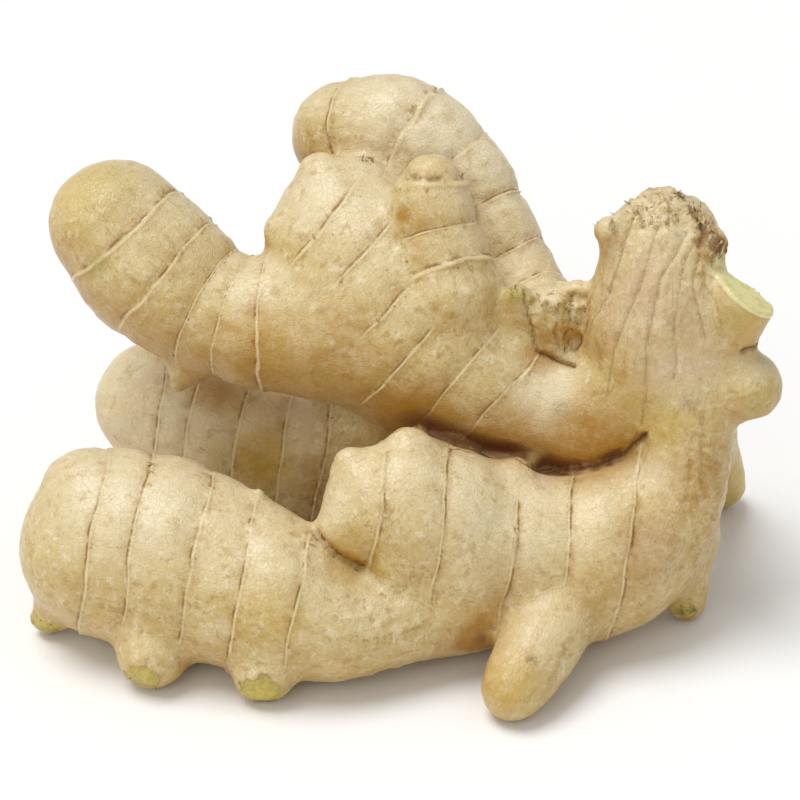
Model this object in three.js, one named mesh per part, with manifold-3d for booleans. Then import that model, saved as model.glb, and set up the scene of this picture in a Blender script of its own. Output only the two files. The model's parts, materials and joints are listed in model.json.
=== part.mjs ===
// A ginger root: one whole hand of fresh ginger, as dug and washed, lying on its knobs and fingertips.
// It grew as one piece, so it is one mesh. Fingers and knobs are round limbs along curved spines.
// A smooth distance field melts them together and raises the growth rings, and triangles follow it.
// Millimetres, +Z up, +X to the right and +Y away from someone who looks at its front.
import * as THREE from "three";
import { triTable } from "three/addons/objects/MarchingCubes.js";
import { mergeVertices } from "three/addons/utils/BufferGeometryUtils.js";
import Module from "manifold-3d";

// Driving dimensions
const MELT = 1.6; // how softly two limbs run into each other where they meet
const SWELL = 0.07; // how far the skin bulges between two growth rings, as a share of their gap
const RING_HEIGHT = 1.1; // a growth ring's ridge above the skin
const RING_WIDTH = 1.2; // distance over which the ridge falls to a third
const RING_CROWDED = 6; // rings closer to each other than this stand lower
const RING_WAVER = 0.9; // how far a ring strays from a true circle
const LUMP_HEIGHT = 0.5; // broad unevenness of the skin
const BEAD_STEP = 2.5; // length of the straight pieces that a spine is measured in
const REACH = 9; // a limb no longer matters this far outside its own box
const CELL = 1.05; // grid step of the surface before it is thinned out
const TRIANGLES = 11600;
const EVENNESS = 3e-3; // how much the thinning dislikes long edges
const CUT_FACE = { at: [74, 0, 78], facing: [0.53, 0.18, 0.83] }; // where the shoot was cut off
const CUT_REACH = 11; // radius of what the cut takes off round the shoot
const CUT_DEPTH = 12;
const BLOCK = 400; // side of the block below the table that trims the low points
const FOOTPRINT_MIDDLE = [0, 11.8]; // of the limbs as listed below, and it becomes the origin

// Limbs, each with its spine from base to tip as [x, y, z, radius]. A limb's growth rings are distances
// along its spine, or along the straight direction that "across" gives, or degrees round a fan's pivot.
const LIMBS = [
  {
    name: "front arm",
    spine: [
      [61, 3, 60, 9.5], [62.5, -3, 47, 9.5], [60.5, -5.5, 36, 11], [55, -7, 27.5, 13.6],
      [46, -8.5, 19.1, 18.1], [32, -10, 18.4, 17.2], [15, -11, 20.4, 19.2], [5, -12, 28, 18],
      [-3, -15, 34, 13], [-11, -20, 30, 7],
    ],
    across: [0.99, -0.07, -0.12],
    rings: [-7.5, 6, 21.5, 33.5, 46],
  },
  {
    name: "left lobe",
    spine: [
      [18, -14, 12.5, 12.5], [0, -25, 13, 10.5], [-14, -28, 13.5, 12.5], [-26, -24, 17.5, 16],
      [-37, -19, 18.8, 18], [-51, -13, 21.8, 20], [-63, -10, 21.8, 20],
    ],
    across: [-0.98, 0.05, 0.18],
    rings: [23.5, 36, 46.5, 59.5, 68.5],
  },
  { name: "lobe corner", spine: [[-67, -8, 32, 11], [-72, -8, 37, 5]] },
  { name: "first knob", spine: [[-71, -11, 12, 7.5], [-78, -13, 4, 4]] },
  { name: "second knob", spine: [[-52, -20, 10, 11], [-53, -30, 7.5, 7.5]] },
  { name: "third knob", spine: [[-30, -26, 10, 9], [-29, -36, 6.4, 6.5]] },
  { name: "thorn", spine: [[-32, -14, 33, 3], [-30, -14, 38, 0.5]] },
  { name: "stub top bump", spine: [[4, -12, 38, 7.5], [2, -12, 47, 4.5]] },
  { name: "stub end bump", spine: [[-9, -13, 40, 6], [-11, -13, 45, 3]] },
  { name: "arm bump", spine: [[24, -8, 34, 6.5], [25, -6, 38, 3]] },
  {
    name: "front finger",
    spine: [[38, -16, 14, 9], [32, -28, 12, 9], [27, -37, 8.5, 8], [24, -42, 6.4, 6.5]],
  },
  { name: "column stub", spine: [[63, -3, 20, 7.5], [63, -5, 10, 6], [64, -6, 4.3, 4.5]] },
  {
    name: "hump",
    spine: [
      [44, 10, 44, 13], [54, 8, 55, 14.5], [56, 9, 68, 15], [56, 12, 78, 13], [56, 14, 83.5, 10],
    ],
    fan: { pivot: [58, 12, 89], axis: [0, -0.87, 0.5] },
    rings: [-56, -42, -27, -11, 0, 11, 23, 36, 50],
  },
  {
    name: "middle arm",
    spine: [
      [52, 10, 47, 13], [37, 12, 43.5, 13.7], [18, 18, 48, 18], [2, 24, 58, 21], [-8, 30, 68, 20],
      [-14, 36, 76, 14.5],
    ],
    across: [-0.76, 0.2, 0.61],
    rings: [15.5, 25.5, 37, 46.5, 58, 68],
  },
  {
    name: "left finger",
    spine: [
      [-13, 24, 59, 19], [-29, 24, 58, 14.5], [-42, 28, 60, 13.5], [-54, 33, 66, 16.3],
      [-63.5, 38, 76, 15],
    ],
    rings: [14, 23, 33, 43, 52.5],
  },
  {
    name: "up finger",
    spine: [[11, 16, 71, 11], [9, 20, 80, 8.5], [7, 24, 88, 8], [7, 26, 92, 6.5]],
    rings: [5, 12.5, 21],
  },
  {
    name: "back finger",
    spine: [
      [32, 22, 59, 10], [26, 32, 65, 9], [20, 40, 75, 9.5], [12.3, 48, 84.3, 11], [0, 54, 91, 12.5],
      [-12, 60, 88, 12.5],
    ],
    rings: [7, 18, 30.5, 43.5, 54.5, 66],
  },
  {
    name: "low finger",
    spine: [
      [0, 30, 35, 14], [-8, 32, 23, 15.5], [-24, 35.5, 15.3, 15.5], [-42, 43, 20, 16],
      [-58, 49, 23, 15],
    ],
    across: [-0.98, 0, 0.2],
    rings: [22, 31.5, 42, 53, 60.5],
  },
  { name: "cut stalk", spine: [[65, 4, 63, 9], [70, 2, 70, 7], [73, 0, 77, 6.5], [76, 0, 83, 6.5]] },
  { name: "round bud", spine: [[65, 4, 55, 9.5], [75, -2, 57, 7]] },
  {
    name: "prop finger",
    spine: [[65, 20, 41, 9], [71, 31, 24, 7.5], [77, 40, 5.9, 6]],
    rings: [12, 21],
  },
  { name: "spur", spine: [[-47, 26, 49, 6], [-50, 22, 44, 2]] },
  { name: "ragged stub", spine: [[33.5, 17, 57, 6.5], [33, 13.5, 67.5, 5.5]] },
  { name: "stub corner", spine: [[36, 14, 68, 3.5], [38.5, 13, 73, 1.5]] },
  { name: "nub", spine: [[25, 14, 65, 4], [25.5, 11, 72.5, 2]] },
  { name: "left crown stub", spine: [[50, 12, 80, 5], [44, 10, 88, 3]] },
  { name: "crown stub", spine: [[55, 14, 82, 6], [56, 15, 89.5, 4.5]] },
  { name: "second crown stub", spine: [[52, 13, 80, 6], [51, 14, 88, 4.5]] },
  { name: "third crown stub", spine: [[60, 13, 80, 6], [62, 14, 86.5, 5]] },
  { name: "right crown stub", spine: [[62, 10, 81, 5.5], [66, 8, 86, 3]] },
  { name: "left shoulder corner", spine: [[-20, 30, 75, 7.5], [-26, 30, 78, 4]] },
  { name: "shoulder corner", spine: [[-14, 36, 83, 7.5], [-18, 38, 89, 4]] },
  { name: "right shoulder corner", spine: [[-10, 36, 82, 6.5], [-8, 38, 88, 3.5]] },
  { name: "back bud", spine: [[57, 18, 69, 12], [62, 30, 76, 7]] },
  { name: "low back knob", spine: [[-36, 46, 18, 10], [-33, 60, 12, 6]] },
];

// A smooth curve through the points, at four-number points as in the spine lists.
function spineCurve(points) {
  const places = points.map(([x, y, z]) => new THREE.Vector3(x, y, z));
  const radii = points.map(([, , , radius]) => new THREE.Vector3(radius, 0, 0));
  const path = new THREE.CatmullRomCurve3(places, false, "catmullrom", 0.5);
  const girth = new THREE.CatmullRomCurve3(radii, false, "catmullrom", 0.5);
  return (t) => ({ place: path.getPoint(t), radius: girth.getPoint(t).x });
}

// A limb as a chain of tapered beads, with the distance along the spine at each.
function beadsOf(limb) {
  const at = spineCurve(limb.spine);
  const spans = limb.spine.length - 1;
  const [first, end] = [at(0).place, at(1).place];
  const steps = spans * Math.max(2, Math.round(first.distanceTo(end) / spans / BEAD_STEP));
  const beads = [];
  let along = 0;
  let last = null;
  for (let i = 0; i <= steps; i++) {
    const now = at(i / steps);
    if (last) {
      const length = now.place.distanceTo(last.place);
      beads.push({
        x: last.place.x,
        y: last.place.y,
        z: last.place.z,
        dx: now.place.x - last.place.x,
        dy: now.place.y - last.place.y,
        dz: now.place.z - last.place.z,
        lengthSquared: length * length,
        radius: last.radius,
        taper: now.radius - last.radius,
        along,
        length,
      });
      along += length;
    }
    last = now;
  }
  const box = new THREE.Box3();
  for (const [x, y, z, r] of limb.spine) {
    box.expandByPoint(new THREE.Vector3(x - r, y - r, z - r));
    box.expandByPoint(new THREE.Vector3(x + r, y + r, z + r));
  }
  box.expandByScalar(REACH);
  return { beads, box, ringAt: ringsOf(limb) };
}

// A limb's growth rings: each ring's place, and a measure that gives a point's place along the limb
// with the millimetres that one step of it stands for there.
function ringsOf({ rings = [], across, fan }) {
  if (!across && !fan) return { marks: rings, measure: (along) => [along, 1] };
  if (across) {
    const [ax, ay, az] = across;
    return { marks: rings, measure: (_, x, y, z) => [ax * x + ay * y + az * z, 1] };
  }
  const pivot = new THREE.Vector3(...fan.pivot);
  const axis = new THREE.Vector3(...fan.axis).normalize();
  const down = new THREE.Vector3(0, 0, -1).projectOnPlane(axis).normalize();
  const side = new THREE.Vector3().crossVectors(axis, down);
  const offset = new THREE.Vector3();
  return {
    marks: rings,
    measure: (_, x, y, z) => {
      offset.set(x, y, z).sub(pivot);
      const [sideways, downward] = [offset.dot(side), offset.dot(down)];
      const angle = THREE.MathUtils.radToDeg(Math.atan2(sideways, downward));
      return [angle, THREE.MathUtils.degToRad(Math.hypot(sideways, downward)) + 0.01];
    },
  };
}

const limbs = LIMBS.map(beadsOf);

// Smooth waves in space, from -1 to 1, that give the lumps and the wavering of the rings.
function waves(x, y, z, length, turn) {
  const k = (2 * Math.PI) / length;
  return (
    (Math.sin(k * (x + 0.4 * y) + turn) +
      Math.sin(k * (y + 0.4 * z) + 2.1 * turn) +
      Math.sin(k * (z + 0.4 * x) + 3.7 * turn)) /
    3
  );
}

// How far the skin stands out on a ringed limb: a ridge at each ring and a swelling between two.
function relief({ marks, measure }, along, x, y, z) {
  if (!marks.length) return 0;
  const [place, step] = measure(along, x, y, z);
  const s = place + (RING_WAVER * waves(x, y, z, 26, 0.6)) / step;
  const after = marks.findIndex((mark) => mark > s);
  const upper = after < 0 ? Infinity : marks[after];
  const lower = after < 0 ? marks.at(-1) : after ? marks[after - 1] : -Infinity;
  const near = Math.min(s - lower, upper - s) * step;
  const gap = (upper - lower) * step;
  const ridge = RING_HEIGHT * Math.min(1, gap / RING_CROWDED) * Math.exp(-near / RING_WIDTH);
  if (gap === Infinity) return ridge;
  const share = (s - lower) / (upper - lower);
  return ridge + SWELL * gap * 4 * share * (1 - share);
}

// Signed distance to the skin, negative inside.
function field(x, y, z) {
  let sum = 0;
  for (const { beads, box, ringAt } of limbs) {
    const { min, max } = box;
    if (x < min.x || x > max.x || y < min.y || y > max.y || z < min.z || z > max.z) continue;
    let nearest = Infinity;
    let along = 0;
    for (const b of beads) {
      const px = x - b.x;
      const py = y - b.y;
      const pz = z - b.z;
      const share = Math.min(1, Math.max(0, (px * b.dx + py * b.dy + pz * b.dz) / b.lengthSquared));
      const ox = px - share * b.dx;
      const oy = py - share * b.dy;
      const oz = pz - share * b.dz;
      const gap = Math.sqrt(ox * ox + oy * oy + oz * oz) - b.radius - share * b.taper;
      if (gap < nearest) {
        nearest = gap;
        along = b.along + share * b.length;
      }
    }
    sum += Math.exp(-(nearest - relief(ringAt, along, x, y, z)) / MELT);
  }
  if (!sum) return REACH;
  return -MELT * Math.log(sum) - LUMP_HEIGHT * waves(x, y, z, 34, 1.3);
}

// The field's surface as an indexed mesh, by marching cubes over a grid.
function marchSurface(box) {
  const size = box.getSize(new THREE.Vector3()).divideScalar(CELL).ceil().addScalar(1);
  const [nx, ny, nz] = [size.x, size.y, size.z];
  const grid = new Float32Array(nx * ny * nz);
  const index = (i, j, k) => i + nx * (j + ny * k);
  const coordinate = (low, step) => low + step * CELL;
  for (let k = 0; k < nz; k++)
    for (let j = 0; j < ny; j++)
      for (let i = 0; i < nx; i++) {
        const d = field(coordinate(box.min.x, i), coordinate(box.min.y, j), coordinate(box.min.z, k));
        grid[index(i, j, k)] = d;
        // Far from the skin the next cells lie on the same side of it.
        const clear = Math.min(Math.abs(d), REACH) - 4 * CELL;
        for (let skip = Math.floor(clear / CELL); skip > 0 && i + 1 < nx; skip--) {
          i++;
          grid[index(i, j, k)] = d;
        }
      }
  const square = [[0, 0], [1, 0], [1, 1], [0, 1]];
  const corners = [0, 1].flatMap((c) => square.map(([a, b]) => [a, b, c]));
  const round = [[0, 1], [1, 2], [3, 2], [0, 3]];
  const uprights = [0, 1, 2, 3].map((n) => [n, n + 4]);
  const edges = [...round, ...round.map(([a, b]) => [a + 4, b + 4]), ...uprights];
  const places = [];
  const faces = [];
  const known = new Map();
  const vertexOn = (i, j, k, edge) => {
    const [a, b] = edges[edge].map((c) => corners[c]);
    const at = index(i + a[0], j + a[1], k + a[2]);
    const axis = b.findIndex((value, n) => value !== a[n]);
    const key = at * 3 + axis;
    if (!known.has(key)) {
      const [from, to] = [grid[at], grid[index(i + b[0], j + b[1], k + b[2])]];
      const place = [i + a[0], j + a[1], k + a[2]];
      place[axis] += from / (from - to);
      known.set(key, places.length);
      places.push(new THREE.Vector3(...place).multiplyScalar(CELL).add(box.min));
    }
    return known.get(key);
  };
  for (let k = 0; k + 1 < nz; k++)
    for (let j = 0; j + 1 < ny; j++)
      for (let i = 0; i + 1 < nx; i++) {
        const outside = ([a, b, c]) => grid[index(i + a, j + b, k + c)] > 0;
        const cube = corners.reduce((bits, corner, n) => bits | (outside(corner) << n), 0);
        if (cube === 0 || cube === 255) continue;
        for (let n = 16 * cube; triTable[n] >= 0; n += 3)
          faces.push([0, 1, 2].map((turn) => vertexOn(i, j, k, triTable[n + turn])));
      }
  return { places, faces };
}

// Thins a closed mesh out to a number of triangles by collapsing its cheapest edges. An edge costs the
// squared distance of its new point from the planes of the faces round it, so rings keep the most.
function thinOut({ places, faces }, wanted) {
  const at = places.map((p) => p.clone());
  const around = at.map(() => new Set());
  const alive = new Uint8Array(faces.length).fill(1);
  const quadrics = at.map(() => new Float64Array(10));
  const plane = new THREE.Plane();
  faces.forEach((face, f) => {
    face.forEach((v) => around[v].add(f));
    plane.setFromCoplanarPoints(...face.map((v) => at[v]));
    const { x, y, z } = plane.normal;
    const w = plane.constant;
    const terms = [x * x, x * y, x * z, x * w, y * y, y * z, y * w, z * z, z * w, w * w];
    const area = new THREE.Triangle(...face.map((v) => at[v])).getArea();
    face.forEach((v) => terms.forEach((term, n) => (quadrics[v][n] += area * term)));
  });
  const costAt = (q, { x, y, z }) =>
    q[0] * x * x + 2 * q[1] * x * y + 2 * q[2] * x * z + 2 * q[3] * x + q[4] * y * y +
    2 * q[5] * y * z + 2 * q[6] * y + q[7] * z * z + 2 * q[8] * z + q[9];
  const versions = new Uint32Array(at.length);
  const heap = [];
  const swap = (i, j) => ([heap[i], heap[j]] = [heap[j], heap[i]]);
  const push = (item) => {
    heap.push(item);
    for (let i = heap.length - 1; i > 0; ) {
      const parent = (i - 1) >> 1;
      if (heap[parent].cost <= heap[i].cost) break;
      swap(i, parent);
      i = parent;
    }
  };
  const pop = () => {
    const top = heap[0];
    const end = heap.pop();
    if (heap.length) {
      heap[0] = end;
      for (let i = 0; ; ) {
        let least = i;
        for (const child of [2 * i + 1, 2 * i + 2])
          if (child < heap.length && heap[child].cost < heap[least].cost) least = child;
        if (least === i) break;
        swap(i, least);
        i = least;
      }
    }
    return top;
  };
  // The best place for a merged vertex is where its planes meet, if they meet near the edge.
  const meeting = (q, middle, reach) => {
    const planes = new THREE.Matrix3(q[0], q[1], q[2], q[1], q[4], q[5], q[2], q[5], q[7]);
    if (planes.determinant() < 1e-3) return middle;
    const place = new THREE.Vector3(-q[3], -q[6], -q[8]).applyMatrix3(planes.invert());
    return place.distanceTo(middle) < reach ? place : middle;
  };
  const consider = (a, b) => {
    const length = at[a].distanceTo(at[b]);
    const q = quadrics[a].map((term, n) => term + quadrics[b][n]);
    const middle = at[a].clone().lerp(at[b], 0.5);
    let place = middle;
    for (const option of [meeting(q, middle, length), at[a], at[b]])
      if (costAt(q, option) < costAt(q, place)) place = option;
    const cost = costAt(q, place) + EVENNESS * length * length;
    push({ a, b, place: place.clone(), cost, stamp: versions[a] + versions[b] });
  };
  const neighbours = (v) => {
    const found = new Set();
    for (const f of around[v]) faces[f].forEach((w) => w !== v && found.add(w));
    return found;
  };
  const flips = (v, other, place) => {
    for (const f of around[v]) {
      if (faces[f].includes(other)) continue;
      const before = faces[f].map((w) => at[w]);
      const after = faces[f].map((w) => (w === v ? place : at[w]));
      const was = new THREE.Triangle(...before).getNormal(new THREE.Vector3());
      const will = new THREE.Triangle(...after);
      if (was.dot(will.getNormal(new THREE.Vector3())) < 0.3 || will.getArea() < 1e-3) return true;
    }
    return false;
  };
  at.forEach((_, v) => neighbours(v).forEach((w) => v < w && consider(v, w)));
  let count = faces.length;
  while (count > wanted && heap.length) {
    const { a, b, place, stamp } = pop();
    if (stamp !== versions[a] + versions[b] || !around[a].size || !around[b].size) continue;
    const nearB = neighbours(b);
    if (!nearB.has(a)) continue;
    const shared = [...neighbours(a)].filter((v) => nearB.has(v));
    if (shared.length !== 2 || flips(a, b, place) || flips(b, a, place)) continue;
    for (const f of [...around[b]]) {
      if (faces[f].includes(a)) {
        faces[f].forEach((v) => around[v].delete(f));
        alive[f] = 0;
        count--;
      } else {
        faces[f] = faces[f].map((v) => (v === b ? a : v));
        around[a].add(f);
      }
    }
    around[b].clear();
    at[a].copy(place);
    quadrics[a].forEach((_, n) => (quadrics[a][n] += quadrics[b][n]));
    versions[a]++;
    const rim = neighbours(a);
    rim.forEach((v) => consider(a, v));
  }
  return { places: at, faces: faces.filter((_, f) => alive[f]) };
}

const wasm = await Module();
wasm.setup();

// A closed geometry as a manifold-3d solid, and back.
function solidOf(geometry) {
  const bare = geometry.clone().deleteAttribute("normal").deleteAttribute("uv");
  const merged = mergeVertices(bare);
  const vertProperties = merged.getAttribute("position").array;
  const triVerts = new Uint32Array(merged.index.array);
  return new wasm.Manifold(new wasm.Mesh({ numProp: 3, vertProperties, triVerts }));
}

function geometryOf(solid) {
  const mesh = solid.getMesh();
  return new THREE.BufferGeometry()
    .setAttribute("position", new THREE.BufferAttribute(mesh.vertProperties, 3))
    .setIndex(new THREE.BufferAttribute(mesh.triVerts, 1));
}

const everything = new THREE.Box3();
limbs.forEach(({ box }) => everything.union(box));
const rough = marchSurface(everything);
const fine = thinOut(rough, TRIANGLES);
const skin = new THREE.BufferGeometry().setFromPoints(fine.places).setIndex(fine.faces.flat());

// The low points are pressed flat where they rest, and the shoot is cut off square.
const below = new THREE.BoxGeometry(BLOCK, BLOCK, BLOCK).translate(0, 0, -BLOCK / 2);
const facing = new THREE.Vector3(...CUT_FACE.facing).normalize();
const tilt = new THREE.Quaternion().setFromUnitVectors(new THREE.Vector3(0, 1, 0), facing);
const offcut = new THREE.CylinderGeometry(CUT_REACH, CUT_REACH, CUT_DEPTH, 24)
  .translate(0, CUT_DEPTH / 2, 0)
  .applyQuaternion(tilt)
  .translate(...CUT_FACE.at);
const root = solidOf(skin).subtract(solidOf(below)).subtract(solidOf(offcut));

const hand = new THREE.Mesh(
  geometryOf(root).translate(-FOOTPRINT_MIDDLE[0], -FOOTPRINT_MIDDLE[1], 0),
  new THREE.MeshStandardMaterial({ color: 0xd9bf86, roughness: 0.55, metalness: 0 }),
);
hand.name = "ginger_root";
hand.geometry.computeVertexNormals();

const part = new THREE.Group();
part.add(hand);
export default part;
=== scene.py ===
"""A hand of fresh ginger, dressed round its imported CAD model.

The skin is the CAD solid made fine: the same limbs and rings as the solid's, with crisp ring edges,
nubs, torn bud skins and a crumbled crown. Lengths inside the growth are millimetres.
"""

import json
import logging
import math
from dataclasses import dataclass, field
from enum import Enum

import bmesh
import bpy
import numpy as np
from mathutils import Matrix, Quaternion, Vector, noise
from mathutils.bvhtree import BVHTree

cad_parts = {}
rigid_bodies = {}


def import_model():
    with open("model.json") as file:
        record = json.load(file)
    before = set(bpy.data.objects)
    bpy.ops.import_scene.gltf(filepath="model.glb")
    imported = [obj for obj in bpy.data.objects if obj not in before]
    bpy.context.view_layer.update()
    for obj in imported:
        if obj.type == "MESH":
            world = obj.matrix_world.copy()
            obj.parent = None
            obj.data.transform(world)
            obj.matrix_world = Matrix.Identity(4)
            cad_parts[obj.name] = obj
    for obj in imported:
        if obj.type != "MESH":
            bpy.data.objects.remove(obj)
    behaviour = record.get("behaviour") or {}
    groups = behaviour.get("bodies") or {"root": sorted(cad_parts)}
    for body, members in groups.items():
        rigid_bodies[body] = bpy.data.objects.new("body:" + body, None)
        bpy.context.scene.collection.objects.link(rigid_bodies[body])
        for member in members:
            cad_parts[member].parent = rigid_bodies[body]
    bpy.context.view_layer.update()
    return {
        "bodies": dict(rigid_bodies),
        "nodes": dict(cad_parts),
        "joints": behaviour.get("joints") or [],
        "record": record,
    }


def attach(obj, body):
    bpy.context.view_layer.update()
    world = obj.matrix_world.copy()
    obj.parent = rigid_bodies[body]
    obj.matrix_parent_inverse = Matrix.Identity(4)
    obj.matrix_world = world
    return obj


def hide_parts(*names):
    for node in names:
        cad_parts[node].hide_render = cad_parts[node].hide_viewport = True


log = logging.getLogger("ginger")

MM = 0.001
PICTURE = 800
FOOTPRINT_MIDDLE = np.array([0.0, 11.8, 0.0])
MELT = 1.6  # how softly the limbs run together
REACH = 9.0  # how far outside its own skin a limb still counts
BEAD_STEP = 2.5  # about how long a limb's straight beads are
BEAD_BLEND = 1.2  # how softly one bead takes over from the next
SWELL = 0.07  # how far the skin bulges between two rings, as a share of the space between them
CROWDED = 6.0  # rings that are closer together than this are weaker
NO_RING = 9.0  # stands for the distance to a ring where none is near
HUMP_BACK = (9.0, 15.0)  # how far back the hump's rings begin, and where they are at full strength
FAINT = 1e-30  # how strong the field is where no limb counts
FAR = 1e4  # farther than any place on the root
PIVOT_UNIT = 0.01  # keeps a fan's unit above zero at its pivot
SAME_PLACE = 1e-6  # vertices nearer than this, in metres, are one
MIX_FACTOR, MIX_UNDER, MIX_OVER, MIX_COLOUR = 0, 6, 7, 2  # the Mix node's colour sockets by number


@dataclass(frozen=True)
class Fan:
    """Rings that spread like a fan, by their angle in degrees round a pivot."""

    pivot: tuple[float, float, float]
    axis: tuple[float, float, float]


@dataclass(frozen=True)
class Limb:
    """One limb: a spine of (x, y, z, radius) from base to tip, and the places of its growth rings."""

    name: str
    spine: tuple[tuple[float, float, float, float], ...]
    rings: tuple[float, ...] = ()
    across: tuple[float, float, float] | None = None
    fan: Fan | None = None


LIMBS = (
    Limb(
        "front arm",
        (
            (61, 3, 60, 9.5), (62.5, -3, 47, 9.5), (60.5, -5.5, 36, 11), (55, -7, 27.5, 13.6),
            (46, -8.5, 19.1, 18.1), (32, -10, 18.4, 17.2), (15, -11, 20.4, 19.2), (5, -12, 28, 18),
            (-3, -15, 34, 13), (-11, -20, 30, 7),
        ),
        rings=(-7.5, 6, 21.5, 33.5, 46),
        across=(0.99, -0.07, -0.12),
    ),
    Limb(
        "left lobe",
        (
            (18, -14, 12.5, 12.5), (0, -25, 13, 10.5), (-14, -28, 13.5, 12.5), (-26, -24, 17.5, 16),
            (-37, -19, 18.8, 18), (-51, -13, 21.8, 20), (-63, -10, 21.8, 20),
        ),
        rings=(23.5, 36, 46.5, 59.5, 68.5),
        across=(-0.98, 0.05, 0.18),
    ),
    Limb("lobe corner", ((-67, -8, 32, 11), (-72, -8, 37, 5))),
    Limb("first knob", ((-71, -11, 12, 7.5), (-78, -13, 4, 4))),
    Limb("second knob", ((-52, -20, 10, 11), (-53, -30, 7.5, 7.5))),
    Limb("third knob", ((-30, -26, 10, 9), (-29, -36, 6.4, 6.5))),
    Limb("thorn", ((-32, -14, 33, 3), (-30, -14, 38, 0.5))),
    Limb("stub top bump", ((4, -12, 38, 7.5), (2, -12, 47, 4.5))),
    Limb("stub end bump", ((-9, -13, 40, 6), (-11, -13, 45, 3))),
    Limb("arm bump", ((24, -8, 34, 6.5), (25, -6, 38, 3))),
    Limb("front finger", ((38, -16, 14, 9), (32, -28, 12, 9), (27, -37, 8.5, 8), (24, -42, 6.4, 6.5))),
    Limb("column stub", ((63, -3, 20, 7.5), (63, -5, 10, 6), (64, -6, 4.3, 4.5))),
    Limb(
        "hump",
        ((44, 10, 44, 13), (54, 8, 55, 14.5), (56, 9, 68, 15), (56, 12, 78, 13), (56, 14, 83.5, 10)),
        rings=(-56, -42, -27, -11, 0, 11, 23, 36, 50),
        fan=Fan(pivot=(58, 12, 89), axis=(0, -0.87, 0.5)),
    ),
    Limb(
        "middle arm",
        (
            (52, 10, 47, 13), (37, 12, 43.5, 13.7), (18, 18, 48, 18), (2, 24, 58, 21), (-8, 30, 68, 20),
            (-14, 36, 76, 14.5),
        ),
        rings=(15.5, 25.5, 37, 46.5, 58, 68),
        across=(-0.76, 0.2, 0.61),
    ),
    Limb(
        "left finger",
        (
            (-13, 24, 59, 19), (-29, 24, 58, 14.5), (-42, 28, 60, 13.5), (-54, 33, 66, 16.3),
            (-63.5, 38, 76, 15),
        ),
        rings=(14, 23, 33, 43, 52.5),
    ),
    Limb(
        "up finger",
        ((11, 16, 71, 11), (9, 20, 80, 8.5), (7, 24, 88, 8), (7, 26, 92, 6.5)),
        rings=(5, 12.5, 21),
    ),
    Limb(
        "back finger",
        (
            (32, 22, 59, 10), (26, 32, 65, 9), (20, 40, 75, 9.5), (12.3, 48, 84.3, 11), (0, 54, 91, 12.5),
            (-12, 60, 88, 12.5),
        ),
        rings=(7, 18, 30.5, 43.5, 54.5, 66),
    ),
    Limb(
        "low finger",
        ((0, 30, 35, 14), (-8, 32, 23, 15.5), (-24, 35.5, 15.3, 15.5), (-42, 43, 20, 16), (-58, 49, 23, 15)),
        rings=(22, 31.5, 42, 53, 60.5),
        across=(-0.98, 0, 0.2),
    ),
    Limb("cut stalk", ((65, 4, 63, 9), (70, 2, 70, 7), (73, 0, 77, 6.5), (76, 0, 83, 6.5))),
    Limb("round bud", ((65, 4, 55, 9.5), (75, -2, 57, 7))),
    Limb("prop finger", ((65, 20, 41, 9), (71, 31, 24, 7.5), (77, 40, 5.9, 6)), rings=(12, 21)),
    Limb("spur", ((-47, 26, 49, 6), (-50, 22, 44, 2))),
    Limb("ragged stub", ((33.5, 17, 57, 6.5), (33, 13.5, 67.5, 5.5))),
    Limb("stub corner", ((36, 14, 68, 3.5), (38.5, 13, 73, 1.5))),
    Limb("nub", ((25, 14, 65, 4), (25.5, 11, 72.5, 2))),
    Limb("left crown stub", ((50, 12, 80, 5), (44, 10, 88, 3))),
    Limb("crown stub", ((55, 14, 82, 6), (56, 15, 89.5, 4.5))),
    Limb("second crown stub", ((52, 13, 80, 6), (51, 14, 88, 4.5))),
    Limb("third crown stub", ((60, 13, 80, 6), (62, 14, 86.5, 5))),
    Limb("right crown stub", ((62, 10, 81, 5.5), (66, 8, 86, 3))),
    Limb("left shoulder corner", ((-20, 30, 75, 7.5), (-26, 30, 78, 4))),
    Limb("shoulder corner", ((-14, 36, 83, 7.5), (-18, 38, 89, 4))),
    Limb("right shoulder corner", ((-10, 36, 82, 6.5), (-8, 38, 88, 3.5))),
    Limb("back bud", ((57, 18, 69, 12), (62, 30, 76, 7))),
    Limb("low back knob", ((-36, 46, 18, 10), (-33, 60, 12, 6))),
)


@dataclass(frozen=True)
class Wave:
    """Smooth waves in space: their height, the length of one wave, and a turn that shifts the pattern."""

    height: float
    length: float
    turn: float
    shear: float = 0.4
    turns: tuple[float, float, float] = (1.0, 2.1, 3.7)

    def at(self, points: np.ndarray) -> np.ndarray:
        """How high the waves stand at each place.

        Args:
            points: places, one row each.

        Returns:
            One value for each place, up to the height and down to its negative.
        """
        k = 2 * math.pi / self.length
        total = np.zeros(len(points))
        for axis, turns in enumerate(self.turns):
            beside = points[:, (axis + 1) % 3]
            total += np.sin(k * (points[:, axis] + self.shear * beside) + turns * self.turn)
        return self.height * (total / 3)


@dataclass(frozen=True)
class Grain:
    """Fractal noise: its height, the size of its largest features, its layers, and which part of it."""

    height: float
    size: float
    layers: int
    part: float = 0.0
    fading: float = 0.9
    fining: float = 2.1

    def at(self, points: np.ndarray) -> np.ndarray:
        """How high the noise stands at each place.

        Args:
            points: places, one row each.

        Returns:
            One value for each place.
        """
        places = (points / self.size + self.part).tolist()
        values = [noise.fractal(Vector(place), self.fading, self.fining, self.layers) for place in places]
        return self.height * np.array(values)


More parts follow.
